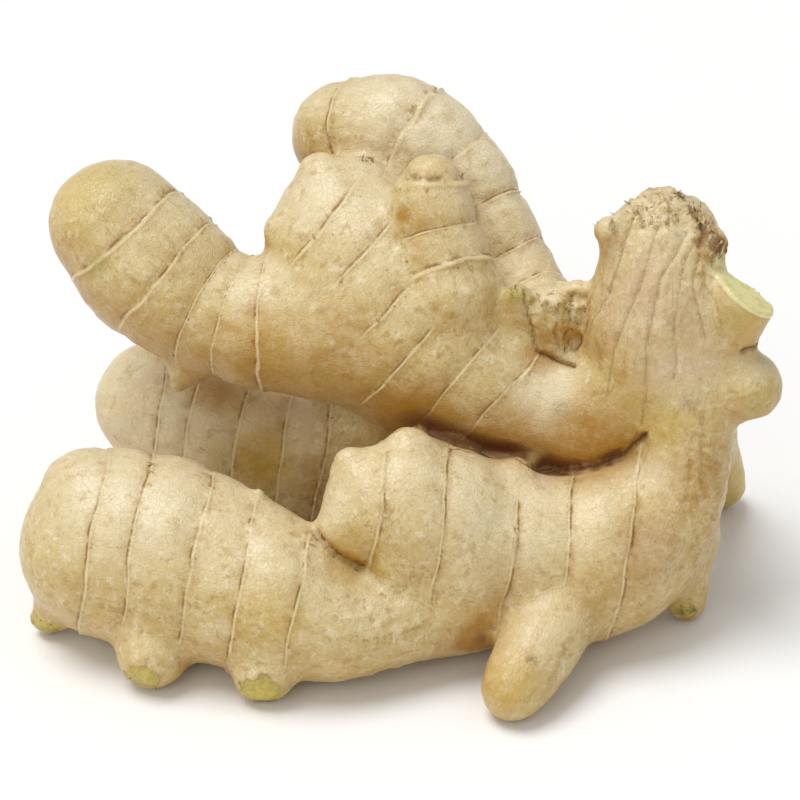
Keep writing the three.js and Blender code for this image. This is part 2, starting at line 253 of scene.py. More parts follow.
RING_WAVER = Wave(0.9, 26, 0.6)
RING_QUIVER = Wave(0.2, 8, 2.9)
RING_STRENGTH = Wave(0.7, 9, 4.4)
BODY_LUMPS = Wave(0.5, 34, 1.3)
CUT_RIPPLE = Wave(0.12, 3.1, 0.4)
EDGE_RIPPLE = Grain(1.0, 3.0, 2, 7.0)
SKIN_SWELLS = Grain(0.24, 8.0, 3)
SKIN_PORES = Grain(0.12, 2.6, 2, 3.0)
FOLDS = Grain(1.0, 5.0, 3, 21.0)
CROWN_LUMPS = Grain(1.9, 5.4, 3, 5.0)
CROWN_CRACKS = Grain(1.0, 4.0, 4, 11.0)


def hill(away: np.ndarray, width: float = 1.0) -> np.ndarray:
    """A smooth hill, 1 where away is 0, that is mostly gone past the width."""
    return np.exp(-((away / width) ** 2))


def distance(points: np.ndarray, place: object) -> np.ndarray:
    """How far each of the points is from one place."""
    return np.linalg.norm(points - np.array(place), axis=1)


def fade(values: np.ndarray, low: float, high: float) -> np.ndarray:
    """Runs smoothly from 0 at low to 1 at high; low may be the larger.

    Args:
        values: what is faded.
        low: where the result is 0.
        high: where it is 1.

    Returns:
        One share for each value.
    """
    t = np.clip((values - low) / (high - low), 0, 1)
    return t * t * (3 - 2 * t)


@dataclass
class Reading:
    """What the growth says at each of a set of places."""

    depth: np.ndarray
    out: np.ndarray
    along: np.ndarray
    offset: np.ndarray
    ring: np.ndarray
    tipward: np.ndarray
    stand: np.ndarray
    hold: np.ndarray


@dataclass(frozen=True)
class RingForm:
    """The form of one growth ring, in millimetres off the skin and along it."""

    crest: float = 0.34
    crest_width: float = 0.36
    skirt: float = 0.26
    skirt_width: float = 1.3
    lip: float = 0.28
    lip_width: float = 1.6
    furrow: float = 0.2
    furrow_at: float = 0.75
    furrow_width: float = 0.4
    mean_strength: float = 0.6

    def relief(self, past: np.ndarray, ahead: np.ndarray) -> np.ndarray:
        """How far the ring stands out.

        Args:
            past: how far each place is past the last ring.
            ahead: how far it is from the next one.

        Returns:
            The relief at each place.
        """
        near = np.minimum(past, ahead)
        crest = self.crest * hill(near, self.crest_width) + self.skirt * np.exp(-near / self.skirt_width)
        furrow = self.furrow * hill(past - self.furrow_at, self.furrow_width)
        return crest + (self.lip * np.exp(-ahead / self.lip_width) - furrow)


@dataclass
class Chain:
    """A limb measured in short straight beads."""

    limb: Limb
    form: RingForm = RingForm()
    start: np.ndarray = field(init=False)
    step: np.ndarray = field(init=False)
    radius: np.ndarray = field(init=False)
    taper: np.ndarray = field(init=False)
    length: np.ndarray = field(init=False)
    along: np.ndarray = field(init=False)
    low: np.ndarray = field(init=False)
    high: np.ndarray = field(init=False)

    def __post_init__(self) -> None:
        """Lays the beads along the spine's smooth curve."""
        spine = np.array(self.limb.spine, float)
        spans = len(spine) - 1
        reach = np.linalg.norm(spine[-1, :3] - spine[0, :3])
        steps = spans * max(2, math.floor(reach / spans / BEAD_STEP + 0.5))
        knots = np.vstack([2 * spine[0] - spine[1], spine, 2 * spine[-1] - spine[-2]])
        t = np.linspace(0, spans, steps + 1)
        span = np.minimum(t.astype(int), spans - 1)
        u = (t - span)[:, None]
        a, b, c, d = (knots[span + n] for n in range(4))
        lead, trail = (c - a) / 2, (d - b) / 2
        curve = b + lead * u + (3 * (c - b) - 2 * lead - trail) * u**2 + (2 * (b - c) + lead + trail) * u**3
        self.start, self.step = curve[:-1, :3], np.diff(curve[:, :3], axis=0)
        self.radius, self.taper = curve[:-1, 3], np.diff(curve[:, 3])
        self.length = np.linalg.norm(self.step, axis=1)
        self.along = np.concatenate([[0], np.cumsum(self.length)[:-1]])
        self.low = (spine[:, :3] - spine[:, 3:]).min(0) - REACH
        self.high = (spine[:, :3] + spine[:, 3:]).max(0) + REACH

    def nearest(self, points: np.ndarray) -> tuple[np.ndarray, np.ndarray, np.ndarray]:
        """Finds the bead nearest to each place.

        Args:
            points: places, one row each.

        Returns:
            Distance from the bead's skin, length along the spine, and offset from the spine.
        """
        rel = points[:, None, :] - self.start[None]
        share = np.clip(np.einsum("pbi,bi->pb", rel, self.step) / self.length**2, 0, 1)
        rel -= share[..., None] * self.step[None]
        gap = np.sqrt(np.einsum("pbi,pbi->pb", rel, rel)) - self.radius - share * self.taper
        best = gap.argmin(1)
        rows = np.arange(len(points))
        pull = np.exp(-(gap - gap[rows, best, None]) / BEAD_BLEND)
        along = (pull * (self.along + share * self.length)).sum(1) / pull.sum(1)
        return gap[rows, best], along, rel[rows, best]

    def measure(self, points: np.ndarray, along: np.ndarray) -> tuple[np.ndarray, np.ndarray]:
        """Says where places are among the limb's rings.

        Args:
            points: places, one row each.
            along: their lengths along the spine.

        Returns:
            Place in the rings' own unit, and the millimetres in one such unit there.
        """
        if self.limb.across:
            return points @ np.array(self.limb.across), np.ones(len(points))
        if not self.limb.fan:
            return along, np.ones(len(points))
        axis = np.array(self.limb.fan.axis) / np.linalg.norm(self.limb.fan.axis)
        down = np.array([0, 0, -1.0]) + axis * axis[2]
        down /= np.linalg.norm(down)
        offset = points - np.array(self.limb.fan.pivot)
        sideways, downward = offset @ np.cross(axis, down), offset @ down
        unit = np.radians(1) * np.hypot(sideways, downward) + PIVOT_UNIT
        return np.degrees(np.arctan2(sideways, downward)), unit

    def relief(self, points: np.ndarray, along: np.ndarray) -> tuple[np.ndarray, np.ndarray, np.ndarray]:
        """How far the skin stands out for the rings, and how far each ring is.

        Args:
            points: places, one row each.
            along: their lengths along the spine.

        Returns:
            The relief, a distance to the nearest ring whose sign turns over at every ring, and 1 just past
            a ring on the side of the tip, 0 on the side of the base.
        """
        marks = np.array(self.limb.rings, float)
        if not len(marks):
            return np.zeros(len(points)), np.full(len(points), NO_RING), np.zeros(len(points))
        place, unit = self.measure(points, along)
        s = place + RING_WAVER.at(points) / unit + RING_QUIVER.at(points) / unit
        after = np.searchsorted(marks, s)
        edges = np.concatenate([[-FAR], marks, [FAR]])
        past, ahead = (s - edges[after]) * unit, (edges[after + 1] - s) * unit
        gap = past + ahead
        inner = (after > 0) & (after < len(marks))
        share = np.where(inner, past / gap, 0)
        sign = np.where(after % 2, -1.0, 1.0)
        nearest = np.minimum(np.minimum(past, ahead), NO_RING)
        bow = np.where(inner, gap / math.pi * np.sin(math.pi * share), nearest)
        strength = np.clip(gap / CROWDED, 0, 1) * (self.form.mean_strength + RING_STRENGTH.at(points))
        bulge = np.where(inner, SWELL * gap * 4 * share * (1 - share), 0)
        if self.limb.fan:
            behind = fade(points[:, 1], *HUMP_BACK)
            strength, bow = strength * behind, np.where(behind < 0.5, NO_RING, bow)
        return self.form.relief(past, ahead) * strength + bulge, sign * bow, (past < ahead).astype(float)


@dataclass
class Growth:
    """The whole hand as one smooth field, in millimetres round its limbs."""

    chunk: int = 12000
    shortest: float = 1e-6
    lead_share: tuple[float, float] = (0.42, 0.85)
    chains: list[Chain] = field(default_factory=lambda: [Chain(limb) for limb in LIMBS])

    def read(self, points: np.ndarray) -> Reading:
        """Reads the field at any number of places.

        Args:
            points: places, one row each.

        Returns:
            The reading, with one row for each place.
        """
        parts = [self._read(points[i : i + self.chunk]) for i in range(0, len(points), self.chunk)]
        names = Reading.__annotations__
        return Reading(*(np.concatenate([getattr(part, name) for part in parts]) for name in names))

    def _read(self, points: np.ndarray) -> Reading:
        """Reads the field at one chunk of places."""
        count = len(points)
        total, strongest, along, tipward, raised = np.full(count, FAINT), *np.zeros((4, count))
        out, offset = np.zeros((2, count, 3))
        ring = np.full(count, NO_RING)
        for chain in self.chains:
            near = np.where(((points > chain.low) & (points < chain.high)).all(1))[0]
            if not len(near):
                continue
            gap, run, away = chain.nearest(points[near])
            stand, bow, side = chain.relief(points[near], run)
            weight = np.exp(-(gap - stand) / MELT)
            length = np.linalg.norm(away, axis=1, keepdims=True).clip(self.shortest)
            total[near] += weight
            out[near] += weight[:, None] * away / length
            offset[near] += weight[:, None] * away
            along[near] += weight * run
            leads = weight > strongest[near]
            led = near[leads]
            ring[led], tipward[led], raised[led] = bow[leads], side[leads], stand[leads]
            strongest[near] = np.maximum(strongest[near], weight)
        depth = -MELT * np.log(total) - BODY_LUMPS.at(points)
        scale = total[:, None]
        hold = fade(strongest / total, *self.lead_share)
        return Reading(depth, out / scale, along / total, offset / scale, ring, tipward, raised, hold)


class Tint(Enum):
    """What a patch of skin is marked with: stains, rumpled folds, painted highlight, and amber that is partly
    painted shade.
    """

    YELLOW = "yellow"
    # amber stains, and painted shade in the creases and under the limbs
    AMBER = "amber"
    PINK = "pink"
    BROWN = "brown"
    GREEN = "green"
    # painted highlight: whiter skin where the light falls brightest
    WHITE = "white"
    RUMPLED = "rumpled"


@dataclass(frozen=True)
class Patch:
    """A patch of skin round the place that a pixel of the picture sees, with its radius in millimetres."""

    pixel: tuple[float, float]
    radius: float
    strength: float


@dataclass(frozen=True)
class BudTip:
    """A bud or fingertip whose papery skin has torn back from the fresh tip."""

    pixel: tuple[float, float]
    radius: float
    depth: float = 0.45
    strength: float = 1.0


@dataclass(frozen=True)
class Groove:
    """A thin split or wrinkle along pixels of the picture, with its width and depth in millimetres."""

    pixels: tuple[tuple[float, float], ...]
    width: float
    depth: float
    # how dark the groove is coloured: real dark lines, and painted shade where it lies in a crease between
    # limbs
    dark: float


@dataclass(frozen=True)
class Shreds:
    """Loose bits round the place that a pixel sees: their reach, number, mean length and lift in degrees."""

    pixel: tuple[float, float]
    reach: float
    count: int
    length: float
    lift: float


PATCHES = {
    Tint.YELLOW: (
        Patch((262, 458), 8, 1.0), Patch((262, 345), 8, 0.4), Patch((85, 180), 12, 0.5),
        Patch((420, 168), 9, 0.35), Patch((735, 480), 13, 1.0), Patch((748, 325), 7, 0.5),
        Patch((505, 680), 9, 0.5), Patch((360, 560), 8, 0.35), Patch((655, 425), 9, 0.35),
        Patch((640, 500), 6, 0.3), Patch((270, 620), 8, 0.3),
    ),
    Tint.GREEN: (
        Patch((110, 160), 8, 0.25), Patch((98, 268), 3.5, 0.5), Patch((728, 318), 5, 0.3),
        Patch((765, 405), 7, 0.3), Patch((515, 292), 4, 0.6),
    ),
    # amber stains, and painted shade along the creases and on the undersides of the middle arm, the left
    # finger and the ragged stub
    Tint.AMBER: (
        Patch((250, 462), 6, 0.4), Patch((140, 346), 4, 1.0), Patch((403, 213), 2.6, 1.0),
        Patch((645, 545), 12, 0.35), Patch((590, 590), 9, 0.3), Patch((590, 442), 12, 0.8),
        Patch((510, 440), 11, 0.6), Patch((465, 448), 5, 0.5), Patch((500, 454), 5, 0.5),
        Patch((560, 462), 5, 0.7), Patch((620, 447), 5, 0.8), Patch((539, 356), 5, 0.7),
        Patch((215, 395), 6, 0.6), Patch((300, 398), 6, 0.6), Patch((500, 665), 12, 0.3),
        Patch((415, 405), 13, 0.5), Patch((260, 355), 14, 0.5), Patch((330, 345), 13, 0.4),
        Patch((700, 470), 12, 0.35), Patch((500, 600), 12, 0.25), Patch((420, 230), 8, 0.3),
        Patch((315, 480), 9, 0.3), Patch((190, 260), 9, 0.22), Patch((345, 555), 7, 0.35),
        Patch((712, 246), 5, 0.6),
    ),
    Tint.PINK: (
        Patch((640, 300), 15, 0.4), Patch((690, 330), 14, 0.3), Patch((655, 555), 9, 0.25),
        Patch((620, 265), 8, 0.35),
    ),
    # painted highlights: whiter patches where the light falls brightest
    Tint.WHITE: (
        Patch((450, 130), 26, 0.75), Patch((510, 230), 16, 0.5), Patch((130, 490), 20, 0.5),
        Patch((500, 500), 22, 0.5), Patch((545, 395), 9, 0.7), Patch((680, 380), 9, 0.35),
        Patch((150, 410), 24, 0.6), Patch((315, 200), 10, 0.4), Patch((655, 470), 7, 0.5),
        Patch((330, 500), 8, 0.4),
    ),
    Tint.BROWN: (
        Patch((714, 243), 4, 0.7), Patch((704, 222), 2.6, 0.6), Patch((365, 158), 2.5, 0.8),
        Patch((684, 613), 1.8, 0.9), Patch((532, 661), 1.5, 0.7), Patch((560, 408), 2.2, 0.3),
        Patch((690, 400), 3, 0.3),
    ),
    Tint.RUMPLED: (
        Patch((700, 480), 12, 1.0), Patch((695, 560), 10, 0.9), Patch((660, 540), 10, 0.5),
        Patch((380, 605), 11, 0.7), Patch((550, 320), 9, 1.0), Patch((690, 415), 8, 0.7),
        Patch((400, 255), 6, 0.7), Patch((455, 545), 6, 0.4), Patch((330, 560), 7, 0.5),
        Patch((290, 480), 9, 0.5),
    ),
}

BUD_TIPS = (
    BudTip((42, 632), 4.2),
    BudTip((140, 680), 3.8),
    BudTip((260, 698), 4.8),
    BudTip((500, 704), 4.0, 0.1, 0.25),
    BudTip((685, 612), 2.6),
)

GROOVES = (
    # the lines down the hump
    Groove(((633, 216), (625, 240), (610, 287), (586, 328), (575, 350)), 0.4, 0.3, 0.38),
    Groove(((658, 226), (650, 250), (639, 287), (623, 321), (612, 350), (606, 400)), 0.4, 0.3, 0.34),
    Groove(
        ((687, 232), (675, 256), (660, 279), (654, 308), (646, 346), (645, 396), (641, 425)), 0.4, 0.3, 0.34
    ),
    Groove(((696, 240), (685, 262), (679, 292), (675, 325), (677, 358), (674, 380)), 0.4, 0.25, 0.3),
    Groove(((700, 255), (693, 287), (701, 317), (706, 340)), 0.4, 0.25, 0.3),
    Groove(((704, 268), (707, 285), (717, 310), (722, 330)), 0.4, 0.25, 0.3),
    Groove(((613, 228), (607, 250), (596, 285), (582, 310)), 0.35, 0.2, 0.25),
    # the crease between the middle arm and the front arm, darkened as painted shade; the second line is
    # painted shade alone, with no depth
    Groove(((438, 438), (452, 445), (477, 454), (494, 458), (515, 458), (531, 467)), 0.5, 0.3, 0.6),
    Groove(((428, 430), (446, 436), (466, 442), (486, 447), (506, 450), (524, 455)), 1.6, 0.0, 0.8),
    Groove(((531, 467), (547, 468), (572, 469), (597, 465), (622, 454), (643, 436)), 0.7, 0.9, 0.85),
    # the ragged stub; the dark line under it is painted shade
    Groove(((524, 294), (528, 316), (533, 337), (538, 351)), 0.4, 0.6, 0.4),
    Groove(((537, 350), (547, 355), (559, 360), (574, 366)), 0.5, 0.9, 0.8),
    Groove(((573, 295), (570, 316), (568, 337), (572, 349)), 0.45, 0.6, 0.35),
    Groove(((559, 309), (557, 332), (560, 349)), 0.4, 0.4, 0.2),
    Groove(((566, 304), (564, 330), (566, 352)), 0.4, 0.4, 0.15),
    Groove(((549, 302), (546, 322), (550, 343)), 0.4, 0.3, 0.15),
    # between the cut shoot and the round bud, darkened as painted shade
    Groove(((742, 351), (750, 348), (763, 345)), 0.6, 0.7, 0.9),
    # the crown
    Groove(((690, 208), (701, 221), (705, 233), (700, 246)), 0.7, 0.8, 0.7),
    Groove(((716, 229), (722, 243), (719, 258)), 0.5, 0.6, 0.6),
    Groove(((632, 205), (640, 214), (643, 226)), 0.5, 0.5, 0.4),
    Groove(((665, 196), (670, 210), (668, 224)), 0.5, 0.5, 0.4),
    # the column
    Groove(((700, 430), (704, 450), (701, 475), (706, 500)), 0.5, 0.3, 0.1),
    Groove(((716, 440), (714, 465), (719, 490), (716, 515)), 0.5, 0.3, 0.12),
    Groove(((688, 450), (690, 480), (686, 505)), 0.5, 0.25, 0.1),
    # where the front arm's stub meets the lobe: two wrinkles, and the crease, darkened as painted shade
    Groove(((368, 586), (384, 598), (391, 616)), 0.5, 0.35, 0.2),
    Groove(((350, 598), (366, 606), (374, 622)), 0.5, 0.35, 0.15),
    Groove(((312, 527), (322, 541), (334, 554), (347, 562), (363, 568)), 0.9, 1.1, 0.34),
)

SHREDS = (
    Shreds((655, 194), 7.0, 16, 1.7, 14),
    Shreds((640, 205), 6.0, 8, 1.4, 8),
    Shreds((700, 222), 4.5, 12, 1.8, 28),
    Shreds((714, 245), 4.5, 10, 1.6, 26),
    Shreds((604, 222), 4.5, 8, 1.4, 14),
    Shreds((572, 318), 4.0, 14, 1.7, 16),
    Shreds((545, 298), 3.5, 7, 1.3, 16),
    Shreds((516, 289), 2.0, 4, 1.2, 25),
    Shreds((684, 612), 2.2, 5, 1.0, 25),
    Shreds((700, 500), 8.0, 7, 1.0, 8),
    Shreds((385, 605), 7.0, 5, 0.9, 8),
    Shreds((400, 255), 4.0, 4, 0.9, 12),
    Shreds((365, 158), 2.5, 5, 1.1, 25),
    Shreds((685, 395), 4.0, 6, 1.1, 10),
)

HAIRS = (
    Shreds((700, 218), 3.5, 7, 2.4, 60),
    Shreds((716, 240), 3.0, 5, 1.8, 55),
    Shreds((655, 198), 7.0, 4, 1.3, 50),
    Shreds((604, 220), 3.5, 4, 1.2, 55),
    Shreds((572, 312), 3.5, 7, 1.7, 55),
    Shreds((516, 288), 2.0, 4, 1.4, 60),
    Shreds((684, 612), 2.0, 4, 1.2, 60),
    Shreds((42, 632), 4.0, 4, 1.2, 50),
    Shreds((140, 680), 4.0, 4, 1.2, 50),
    Shreds((365, 158), 2.0, 3, 1.4, 55),
)


@dataclass
class Studio:
    """The soft white studio: camera, lights and a pale floor."""

    aim: Vector = field(default_factory=lambda: Vector((0, -0.0038, 0.0478)))
    distance: float = 0.538
    elevation: float = 30.0
    lens: float = 110.05
    sensor: float = 36.0
    clip: tuple[float, float] = (0.01, 20)
    sky_side: tuple[float, float, float] = (-0.32, 0.04, 1.0)
    sky_spread: float = 34
    sky_strength: float = 1.85
    fill_place: tuple[float, float, float] = (-0.45, -0.75, 0.55)
    fill_size: float = 0.6
    fill_watts: float = 1.3
    room_strength: float = 0.5
    floor_half: float = 2.5
    floor_gap: float = 0.2 * MM
    floor_colour: tuple[float, float, float, float] = (0.93, 0.93, 0.925, 1)
    floor_roughness: float = 0.85

    @property
    def eye(self) -> Vector:
        """Where the camera stands."""
        rise = math.radians(self.elevation)
        return self.aim + self.distance * Vector((0, -math.cos(rise), math.sin(rise)))

    def ray(self, pixel: tuple[float, float]) -> Vector:
        """The direction in which the camera sees a pixel of the picture.

        Args:
            pixel: across and down from the picture's top left corner.

        Returns:
            A unit vector.
        """
        turn = (self.aim - self.eye).to_track_quat("-Z", "Y")
        across, up = pixel[0] / PICTURE - 0.5, 0.5 - pixel[1] / PICTURE
        return (turn @ Vector((across * self.sensor, up * self.sensor, -self.lens))).normalized()

    @staticmethod
    def _hang(data: object, place: object, turn: Quaternion) -> bpy.types.Object:
        """Puts a camera or a light in its place, turned the way that it faces."""
        thing = bpy.data.objects.new(data.name, data)
        thing.location = place
        thing.rotation_euler = turn.to_euler()
        bpy.context.scene.collection.objects.link(thing)
        return thing

    def build_camera(self) -> None:
        """Sets the camera at the picture's angle."""
        data = bpy.data.cameras.new("picture_camera")
        data.lens, data.sensor_width = self.lens, self.sensor
        data.clip_start, data.clip_end = self.clip
        turn = (self.aim - self.eye).to_track_quat("-Z", "Y")
        bpy.context.scene.camera = self._hang(data, self.eye, turn)

    def build_lights(self) -> None:
        """Hangs a wide far light, as bright everywhere on the floor, and a weak one at the front."""
        sky = bpy.data.lights.new("soft_top", "SUN")
        sky.angle, sky.energy = math.radians(self.sky_spread), self.sky_strength
        self._hang(sky, self.sky_side, Vector(self.sky_side).to_track_quat("Z", "Y"))
        fill = bpy.data.lights.new("front_fill", "AREA")
        fill.shape, fill.size, fill.energy = "SQUARE", self.fill_size, self.fill_watts
        turn = (self.aim - Vector(self.fill_place)).to_track_quat("-Z", "Y")
        self._hang(fill, self.fill_place, turn)

    def build_room(self) -> None:
        """Makes the air white and sets plain colours for the picture."""
        scene = bpy.context.scene
        scene.view_settings.view_transform = "Standard"
        scene.view_settings.look = "None"
        scene.world = bpy.data.worlds.new("white_room")
        scene.world.use_nodes = True
        air = scene.world.node_tree.nodes["Background"].inputs
        air["Color"].default_value = (1.0, 1.0, 1.0, 1.0)
        air["Strength"].default_value = self.room_strength

    def build_floor(self) -> None:
        """Lays the pale floor."""
        mesh = bpy.data.meshes.new("pale_floor")
        plate = bmesh.new()
        bmesh.ops.create_grid(plate, x_segments=1, y_segments=1, size=self.floor_half)
        bmesh.ops.translate(plate, verts=plate.verts, vec=(0, 0, -self.floor_gap))
        plate.to_mesh(mesh)
        plate.free()
        floor = bpy.data.objects.new("pale_floor", mesh)
        bpy.context.scene.collection.objects.link(floor)
        bench = Bench("pale_floor")
        bench.finish({"Base Color": self.floor_colour, "Roughness": self.floor_roughness})
        mesh.materials.append(bench.material)

    def build(self) -> None:
        """Builds the lights, the room and the floor."""
        self.build_lights()
        self.build_room()
        self.build_floor()


@dataclass(frozen=True)
class Flow:
    """A value that flows through a material; its operators add Math nodes."""

    bench: "Bench"
    socket: bpy.types.NodeSocket

    def __add__(self, other: "Flow | float") -> "Flow":
        """The sum of both."""
        return self.bench.math("ADD", self, other)

    __radd__ = __add__

    def __mul__(self, other: "Flow | float") -> "Flow":
        """The product of both."""
        return self.bench.math("MULTIPLY", self, other)

    __rmul__ = __mul__

    def __sub__(self, other: "Flow | float") -> "Flow":
        """This less the other."""
        return self.bench.math("SUBTRACT", self, other)

    def __rsub__(self, other: "Flow | float") -> "Flow":
        """The other less this."""
        return self.bench.math("SUBTRACT", other, self)

    def __abs__(self) -> "Flow":
        """This without its sign."""
        return self.bench.math("ABSOLUTE", self)

    def fade(self, low: float, high: float) -> "Flow":
        """Runs smoothly from 0 at low to 1 at high.

        Args:
            low: where the result is 0.
            high: where it is 1; it may be below low.

        Returns:
            The share.
        """
        sockets = {"From Min": min(low, high), "From Max": max(low, high)}
        sockets |= {"To Min": float(low > high), "To Max": float(low < high), "Value": self}
        return self.bench.node("ShaderNodeMapRange", {"interpolation_type": "SMOOTHSTEP"}, sockets)


class Bench:
    """A material in the making."""

    def __init__(self, name: str) -> None:
        """Starts a material with a bare shader.

        Args:
            name: the material's name.
        """
        self.material = bpy.data.materials.new(name)
        self.material.use_nodes = True
        self.tree = self.material.node_tree
        self.shader = self.tree.nodes["Principled BSDF"]

    def node(self, kind: str, settings: dict, sockets: dict, output: int | str = 0) -> Flow:
        """Adds any node.

        Args:
            kind: the node's type.
            settings: its settings, which are set first.
            sockets: values or flows for its inputs, by name or number.
            output: the output that flows on.

        Returns:
            The flow from that output.
        """
        new = self.tree.nodes.new(kind)
        for key, value in settings.items():
            setattr(new, key, value)
        for key, value in sockets.items():
            self.plug(new.inputs[key], value)
        return Flow(self, new.outputs[output])

    def plug(self, socket: bpy.types.NodeSocket, value: object) -> None:
        """Sets a socket to a value or links a flow to it."""
        if isinstance(value, Flow):
            self.tree.links.new(value.socket, socket)
        else:
            socket.default_value = value

    def math(self, operation: str, *values: "Flow | float") -> Flow:
        """Adds a Math node."""
        return self.node("ShaderNodeMath", {"operation": operation}, dict(enumerate(values)))

    def shift(self, operation: str, first: object, second: object, output: int | str = 0) -> Flow:
        """Adds a Vector Math node."""
        return self.node("ShaderNodeVectorMath", {"operation": operation}, {0: first, 1: second}, output)

    def blend(self, share: "Flow | float", under: object, over: object) -> Flow:
        """Mixes two colours by a share."""
        sockets = {MIX_FACTOR: share, MIX_UNDER: under, MIX_OVER: over}
        return self.node("ShaderNodeMix", {"data_type": "RGBA"}, sockets, MIX_COLOUR)

    def trait(self, name: str, output: str = "Fac") -> Flow:
        """Reads an attribute of the mesh."""
        return self.node("ShaderNodeAttribute", {"attribute_name": name}, {}, output)

    def place(self) -> Flow:
        """The place on the piece, in millimetres."""
        coordinates = self.node("ShaderNodeTexCoord", {}, {}, "Object")
        return self.node("ShaderNodeVectorMath", {"operation": "SCALE"}, {0: coordinates, "Scale": 1 / MM})

    def cloud(self, place: Flow, size: float, detail: float, roughness: float, **more: object) -> Flow:
        """Noise whose features are about size millimetres wide, from 0 to 1."""
        sockets = {"Vector": place, "Scale": 1 / size, "Detail": detail, "Roughness": roughness}
        settings = {"noise_dimensions": "4D"} if "W" in more else {}
        return self.node("ShaderNodeTexNoise", settings, sockets | more)

    def finish(self, sockets: dict) -> None:
        """Sets or links the shader's own sockets."""
        for key, value in sockets.items():
            self.plug(self.shader.inputs[key], value)


def tone(red: int, green: int, blue: int) -> tuple[float, float, float, float]:
    """A screen colour as the shader wants it.

    Args:
        red: 0 to 255.
        green: 0 to 255.
        blue: 0 to 255.

    Returns:
        Linear red, green, blue and 1.
    """
    screen = (red / 255, green / 255, blue / 255)
    linear = [c / 12.92 if c <= 0.04045 else ((c + 0.055) / 1.055) ** 2.4 for c in screen]
    return (*linear, 1.0)


class SkinCues:
    """The noises, and the marks on the mesh, that the ginger's skin follows."""

    def __init__(self, bench: Bench) -> None:
        """Adds every noise and reads the marks that are used more than once.

        Args:
            bench: the material in the making.
        """
        self.place, self.offset = bench.place(), bench.trait("skin_offset", "Vector")
        self.ring, self.hold = abs(bench.trait("ring")), bench.trait("ring_hold")
        self.shade, self.facing = bench.trait("shade"), bench.trait("facing")
        self.crown, self.split = bench.trait("crown"), bench.trait("groove")
        self.fibre = bench.cloud(self.offset, 1.6, 3.0, 0.6, W=bench.trait("skin_along") * 0.1)
        self.mottle = bench.cloud(self.place, 9.0, 2.0, 0.5)
        self.flake = bench.cloud(self.place, 2.2, 4.0, 0.66)
        self.papery = bench.cloud(self.place, 3.6, 5.0, 0.68)
        self.spread = bench.cloud(self.place, 4.0, 2.0, 0.5)
        self.scab = bench.cloud(self.place, 1.6, 3.0, 0.7)
        self.broken = self.spread.fade(0.40, 0.62)


